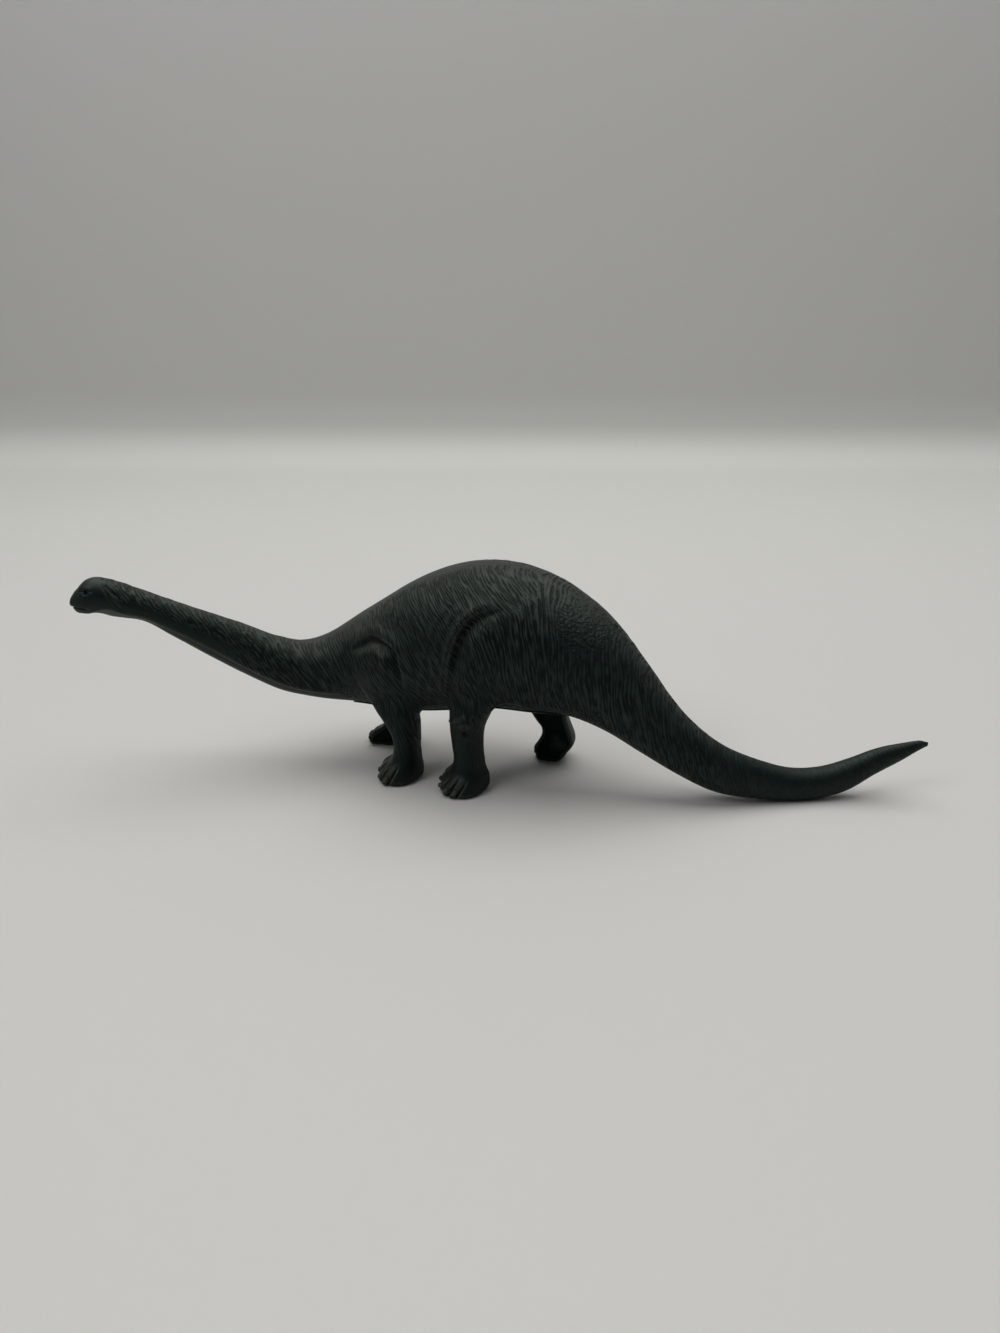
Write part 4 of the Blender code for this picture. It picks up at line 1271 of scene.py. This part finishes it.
# Partly wear and partly painted highlight: the lighter colour of rims and of the lit tops, toes, nails and throat
WEAR_AND_HIGHLIGHT_COLOUR = (0.0560, 0.0610, 0.0490, 1)
SPECULAR_LEVEL = 0.24
ROUGHNESS = 0.50
WANDER_SCALE = 0.42
WANDER = 1.9
BREAK_SCALE = 1.0
BREAKING = 7.0
CRUMB_SCALE = 900.0
CRUMB_DETAIL = 1.5
CRUMBLING = 7.0
GROOVE_STEP = (0.15, 1.0)
RIDGE_STEP = (0.0, 1.1)
LINE_BUMP = 0.00045
RIDGE_BUMP = 0.4
RIDGE_MOTTLE = (0.2, 0.9)
WEAR_AND_HIGHLIGHT_MOTTLE = (0.5, 0.7)
ROUGH_MOTTLE = 0.08
ROUGH_GROOVE = 0.25
WEAR_AND_HIGHLIGHT_POLISH = 0.12


def engraved_plastic():
    """Dark satin plastic with short carved lines. In each of the two grains a line is the sine of the place across
    it, which a slow noise makes wander and a quicker one breaks up; on the rump plain noise takes its place. Where
    that is high a groove runs, duller and darker as painted shade, and where it is low a ridge, lighter as painted
    highlight; over all of it goes the share of wear and painted highlight."""
    material, shader, place, pores, mottle = plastic("engraved_plastic", SPECULAR_LEVEL)
    cut_values = place.node("ShaderNodeAttribute", {"attribute_name": "cut"}, output="Vector")
    depth, crumbled, behind = [cut_values.part(axis) for axis in range(3)]
    combed = []
    for name in ("front_grain", "rear_grain"):
        at = place.node("ShaderNodeAttribute", {"attribute_name": name}, output="Vector")
        turn = (at.part("X") + (at.noise(WANDER_SCALE, 0.0) - 0.5) * WANDER) * (2 * np.pi)
        combed.append(turn.sine() + (at.noise(BREAK_SCALE, 1.0) - 0.5) * BREAKING)
    strokes = combed[0] + (combed[1] - combed[0]) * behind
    crumbs = (place.noise(CRUMB_SCALE, CRUMB_DETAIL) - 0.5) * CRUMBLING
    lines = strokes + (crumbs - strokes) * crumbled
    groove = lines.step(*GROOVE_STEP)
    ridge = (0 - lines).step(*RIDGE_STEP)
    # Painted highlight on the ridges
    colour = (ridge * depth * (RIDGE_MOTTLE[0] + mottle * RIDGE_MOTTLE[1])).mix(PLASTIC_COLOUR, RIDGE_HIGHLIGHT_AND_SCUFF_COLOUR)
    # Painted shade in the grooves
    colour = (groove * depth).mix(colour, GROOVE_SHADE_COLOUR)
    # The stored marks: partly wear and partly painted highlight
    stored_wear_and_highlight = place.node("ShaderNodeAttribute", {"attribute_name": "wear_and_highlight"}, output="Fac")
    wear_and_highlight = stored_wear_and_highlight * (WEAR_AND_HIGHLIGHT_MOTTLE[0] + mottle * WEAR_AND_HIGHLIGHT_MOTTLE[1])
    rough = ROUGHNESS + (mottle - 0.5) * ROUGH_MOTTLE + (pores - 0.5) * ROUGH_MOTTLE
    rough = rough + groove * depth * ROUGH_GROOVE - wear_and_highlight * WEAR_AND_HIGHLIGHT_POLISH
    height = pores * PORE_BUMP + (ridge * RIDGE_BUMP - groove) * depth * LINE_BUMP
    feed(shader, wear_and_highlight.mix(colour, WEAR_AND_HIGHLIGHT_COLOUR), rough, height)
    return material


shell_plastic = engraved_plastic()
for side, name in ((LEFT, "left_body_shell"), (RIGHT, "right_body_shell")):
    half = cut(skin.copy(), name, "INTERSECT", block_rings(side))
    half = cut(half, name, "DIFFERENCE", panel_opening_rings())
    for leg in LEGS:
        if leg["side"] == side:
            near = leg["inset"] - CUT_OVERRUN
            far = leg["inset"] + COVER_RECESS + COVER_THICKNESS + FIT_GAP
            half = cut(half, name, "DIFFERENCE", cover_rings(leg, FIT_GAP, near, far))
    half.materials.clear()
    half.materials.append(shell_plastic)
    put_skin(half)
    posed_mesh(half)
    shell = shown(name + "_skin", half)
    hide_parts(name)
    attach(shell, "root")

# The belly panel. A smooth strip of the same plastic closes the underside from the chest to behind the hind
# legs. It stands out from the belly by a small step, and it is glued in between the two shells.

# Painted shade: the smooth plastic is coloured darker than the shell plastic, for the shade under the body and
# between the legs
SHADED_SMOOTH_COLOUR = (0.0012, 0.0026, 0.0026, 1)
SMOOTH_SPECULAR_LEVEL = 0.09
SMOOTH_ROUGHNESS = 0.40
SCUFF_STEP = (0.5, 0.8)
SMOOTH_MOTTLE = 0.2
SMOOTH_PORES = 0.1
EDGE_ROUND = 0.00025


def smooth_plastic():
    """The same plastic left plain: a little glossier, with mould marks, pores and faint scuffs, and coloured darker
    as painted shade.
    """
    material, shader, _, pores, mottle = plastic("smooth_plastic", SMOOTH_SPECULAR_LEVEL)
    rough = SMOOTH_ROUGHNESS + (mottle - 0.5) * SMOOTH_MOTTLE + (pores - 0.5) * SMOOTH_PORES
    # Real scuffs over a colour darkened as painted shade
    feed(shader, mottle.step(*SCUFF_STEP).mix(SHADED_SMOOTH_COLOUR, RIDGE_HIGHLIGHT_AND_SCUFF_COLOUR), rough, pores * PORE_BUMP)
    return material


def rounded(thing):
    """Rounds a piece's sharp edges."""
    bevel = thing.modifiers.new("rounded edges", "BEVEL")
    bevel.width = EDGE_ROUND
    bevel.segments = 2
    bevel.limit_method = "ANGLE"
    bevel.angle_limit = np.radians(SHARP_DEGREES)


def panel_rings():
    """A strip of the underside, standing out from it by the step, with an even thickness."""
    x = panel_stations()
    y = np.outer(panel_half_width(x), np.linspace(-1, 1, PANEL_ACROSS))
    x = np.repeat(x[:, None], PANEL_ACROSS, 1)
    under = belly_surface(x, y) - PANEL_STEP
    outer = np.stack([x, y, under], -1)
    inner = np.stack([x, y, under + PANEL_THICKNESS], -1)
    return np.concatenate([outer, inner[:, ::-1]], axis=1)


inner_plastic = smooth_plastic()
panel_mesh = mesh_through("belly_panel", [panel_rings()])
posed_mesh(panel_mesh)
panel_mesh.materials.append(inner_plastic)
panel = shown("belly_panel_skin", panel_mesh)
rounded(panel)
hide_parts("belly_panel")
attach(panel, "root")

# The leg covers. A flat plate of the same smooth plastic closes the open inner side of each half round leg. It is
# glued in just below the leg's rim, and its top tucks in behind the edge of the belly panel.

for leg in LEGS:
    near = leg["inset"] + COVER_RECESS
    cover_mesh = mesh_through(leg["name"] + "_cover", [cover_rings(leg, 0.0, near, near + COVER_THICKNESS)])
    posed_mesh(cover_mesh)
    cover_mesh.materials.append(inner_plastic)
    cover = shown(leg["name"] + "_cover_skin", cover_mesh)
    rounded(cover)
    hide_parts(leg["name"] + "_cover")
    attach(cover, "root")

# The pale floor and the wall behind it, as one sweep of card. The floor is painted a little lighter far back than
# near the figure, as painted light, and the wall darker, as painted shade.

FLOOR_FRONT = -1.6
FLOOR_BACK = 0.80
SWEEP_RADIUS = 0.045
WALL_TOP = 1.6
FLOOR_HALF_WIDTH = 2.2
SWEEP_STEPS = 24
NEAR_COLOUR = (0.72, 0.71, 0.685, 1)
# Painted light: the floor far back is coloured lighter
FAR_PAINTED_LIGHT_COLOUR = (0.79, 0.79, 0.755, 1)
# Painted shade: the wall is coloured darker
WALL_PAINTED_SHADE_COLOUR = (0.59, 0.585, 0.575, 1)
CARD_ROUGHNESS = 0.55

turn = np.linspace(0, np.pi / 2, SWEEP_STEPS)
depths = np.concatenate([[FLOOR_FRONT], FLOOR_BACK + SWEEP_RADIUS * np.sin(turn), [FLOOR_BACK + SWEEP_RADIUS]])
heights = np.concatenate([[0.0], SWEEP_RADIUS * (1 - np.cos(turn)), [WALL_TOP]])
count = len(depths)
sweep_points = [(x, y, z) for x in (-FLOOR_HALF_WIDTH, FLOOR_HALF_WIDTH) for y, z in zip(depths, heights)]
sweep_faces = [(i, i + count, i + count + 1, i + 1) for i in range(count - 1)]
sweep_mesh = bpy.data.meshes.new("backdrop")
sweep_mesh.from_pydata(sweep_points, [], sweep_faces)
sweep_mesh.shade_smooth()
backdrop = shown("backdrop", sweep_mesh)
card = bpy.data.materials.new("pale_card")
card.use_nodes = True
shader = card.node_tree.nodes["Principled BSDF"]
shader.inputs["Roughness"].default_value = CARD_ROUGHNESS
card_place = Wire(card.node_tree).node("ShaderNodeTexCoord", output="Object")
floor_colour = card_place.part("Y").step(0.0, FLOOR_BACK).mix(NEAR_COLOUR, FAR_PAINTED_LIGHT_COLOUR)
card_colour = card_place.part("Z").step(0.0, 2 * SWEEP_RADIUS).mix(floor_colour, WALL_PAINTED_SHADE_COLOUR)
card.node_tree.links.new(card_colour.socket, shader.inputs["Base Color"])
sweep_mesh.materials.append(card)

# Camera and light. The camera stands where the photograph was taken. The light is one wide soft source overhead
# and a little behind, with a small soft fill from the front left and a dim room round them.

CAMERA_PLACE = (-0.00118, -0.38069, 0.1850)
CAMERA_DOWN_DEGREES = 20.1
SENSOR_WIDTH = 36.0
LENS = 36.0

# Name, place, point it is aimed at, size, power and colour of each light
LIGHTS = (
    ("overhead_softbox", (0.1, 0.45, 1.3), (0.05, 0.08, 0.0), 1.9, 21.5, (1.0, 1.0, 0.985)),
    ("front_fill", (-0.9, -0.7, 1.2), (0.0, 0.0, 0.05), 0.6, 4.5, (1.0, 1.0, 1.0)),
)
ROOM_COLOUR = (0.90, 0.92, 0.92, 1)
ROOM_STRENGTH = 0.10

camera = bpy.data.cameras.new("camera")
camera.sensor_fit = "HORIZONTAL"
camera.sensor_width = SENSOR_WIDTH
camera.lens = LENS
viewer = bpy.data.objects.new("camera", camera)
viewer.location = CAMERA_PLACE
viewer.rotation_euler = (np.radians(90 - CAMERA_DOWN_DEGREES), 0, 0)
bpy.context.scene.collection.objects.link(viewer)
bpy.context.scene.camera = viewer

for name, place, aim, size, power, colour in LIGHTS:
    light = bpy.data.lights.new(name, "AREA")
    light.size = size
    light.energy = power
    light.color = colour
    lamp = bpy.data.objects.new(name, light)
    over, aside, rise = np.array(aim) - place
    lamp.location = place
    lamp.rotation_euler = (np.arctan2(np.hypot(over, aside), -rise), 0, np.arctan2(-over, aside))
    bpy.context.scene.collection.objects.link(lamp)

world = bpy.data.worlds.new("room")
world.use_nodes = True
room = world.node_tree.nodes["Background"]
room.inputs["Color"].default_value = ROOM_COLOUR
room.inputs["Strength"].default_value = ROOM_STRENGTH
bpy.context.scene.world = world

# The default view lifts the blacks of such a dark figure, so the plain one is used
bpy.context.scene.view_settings.view_transform = "Standard"
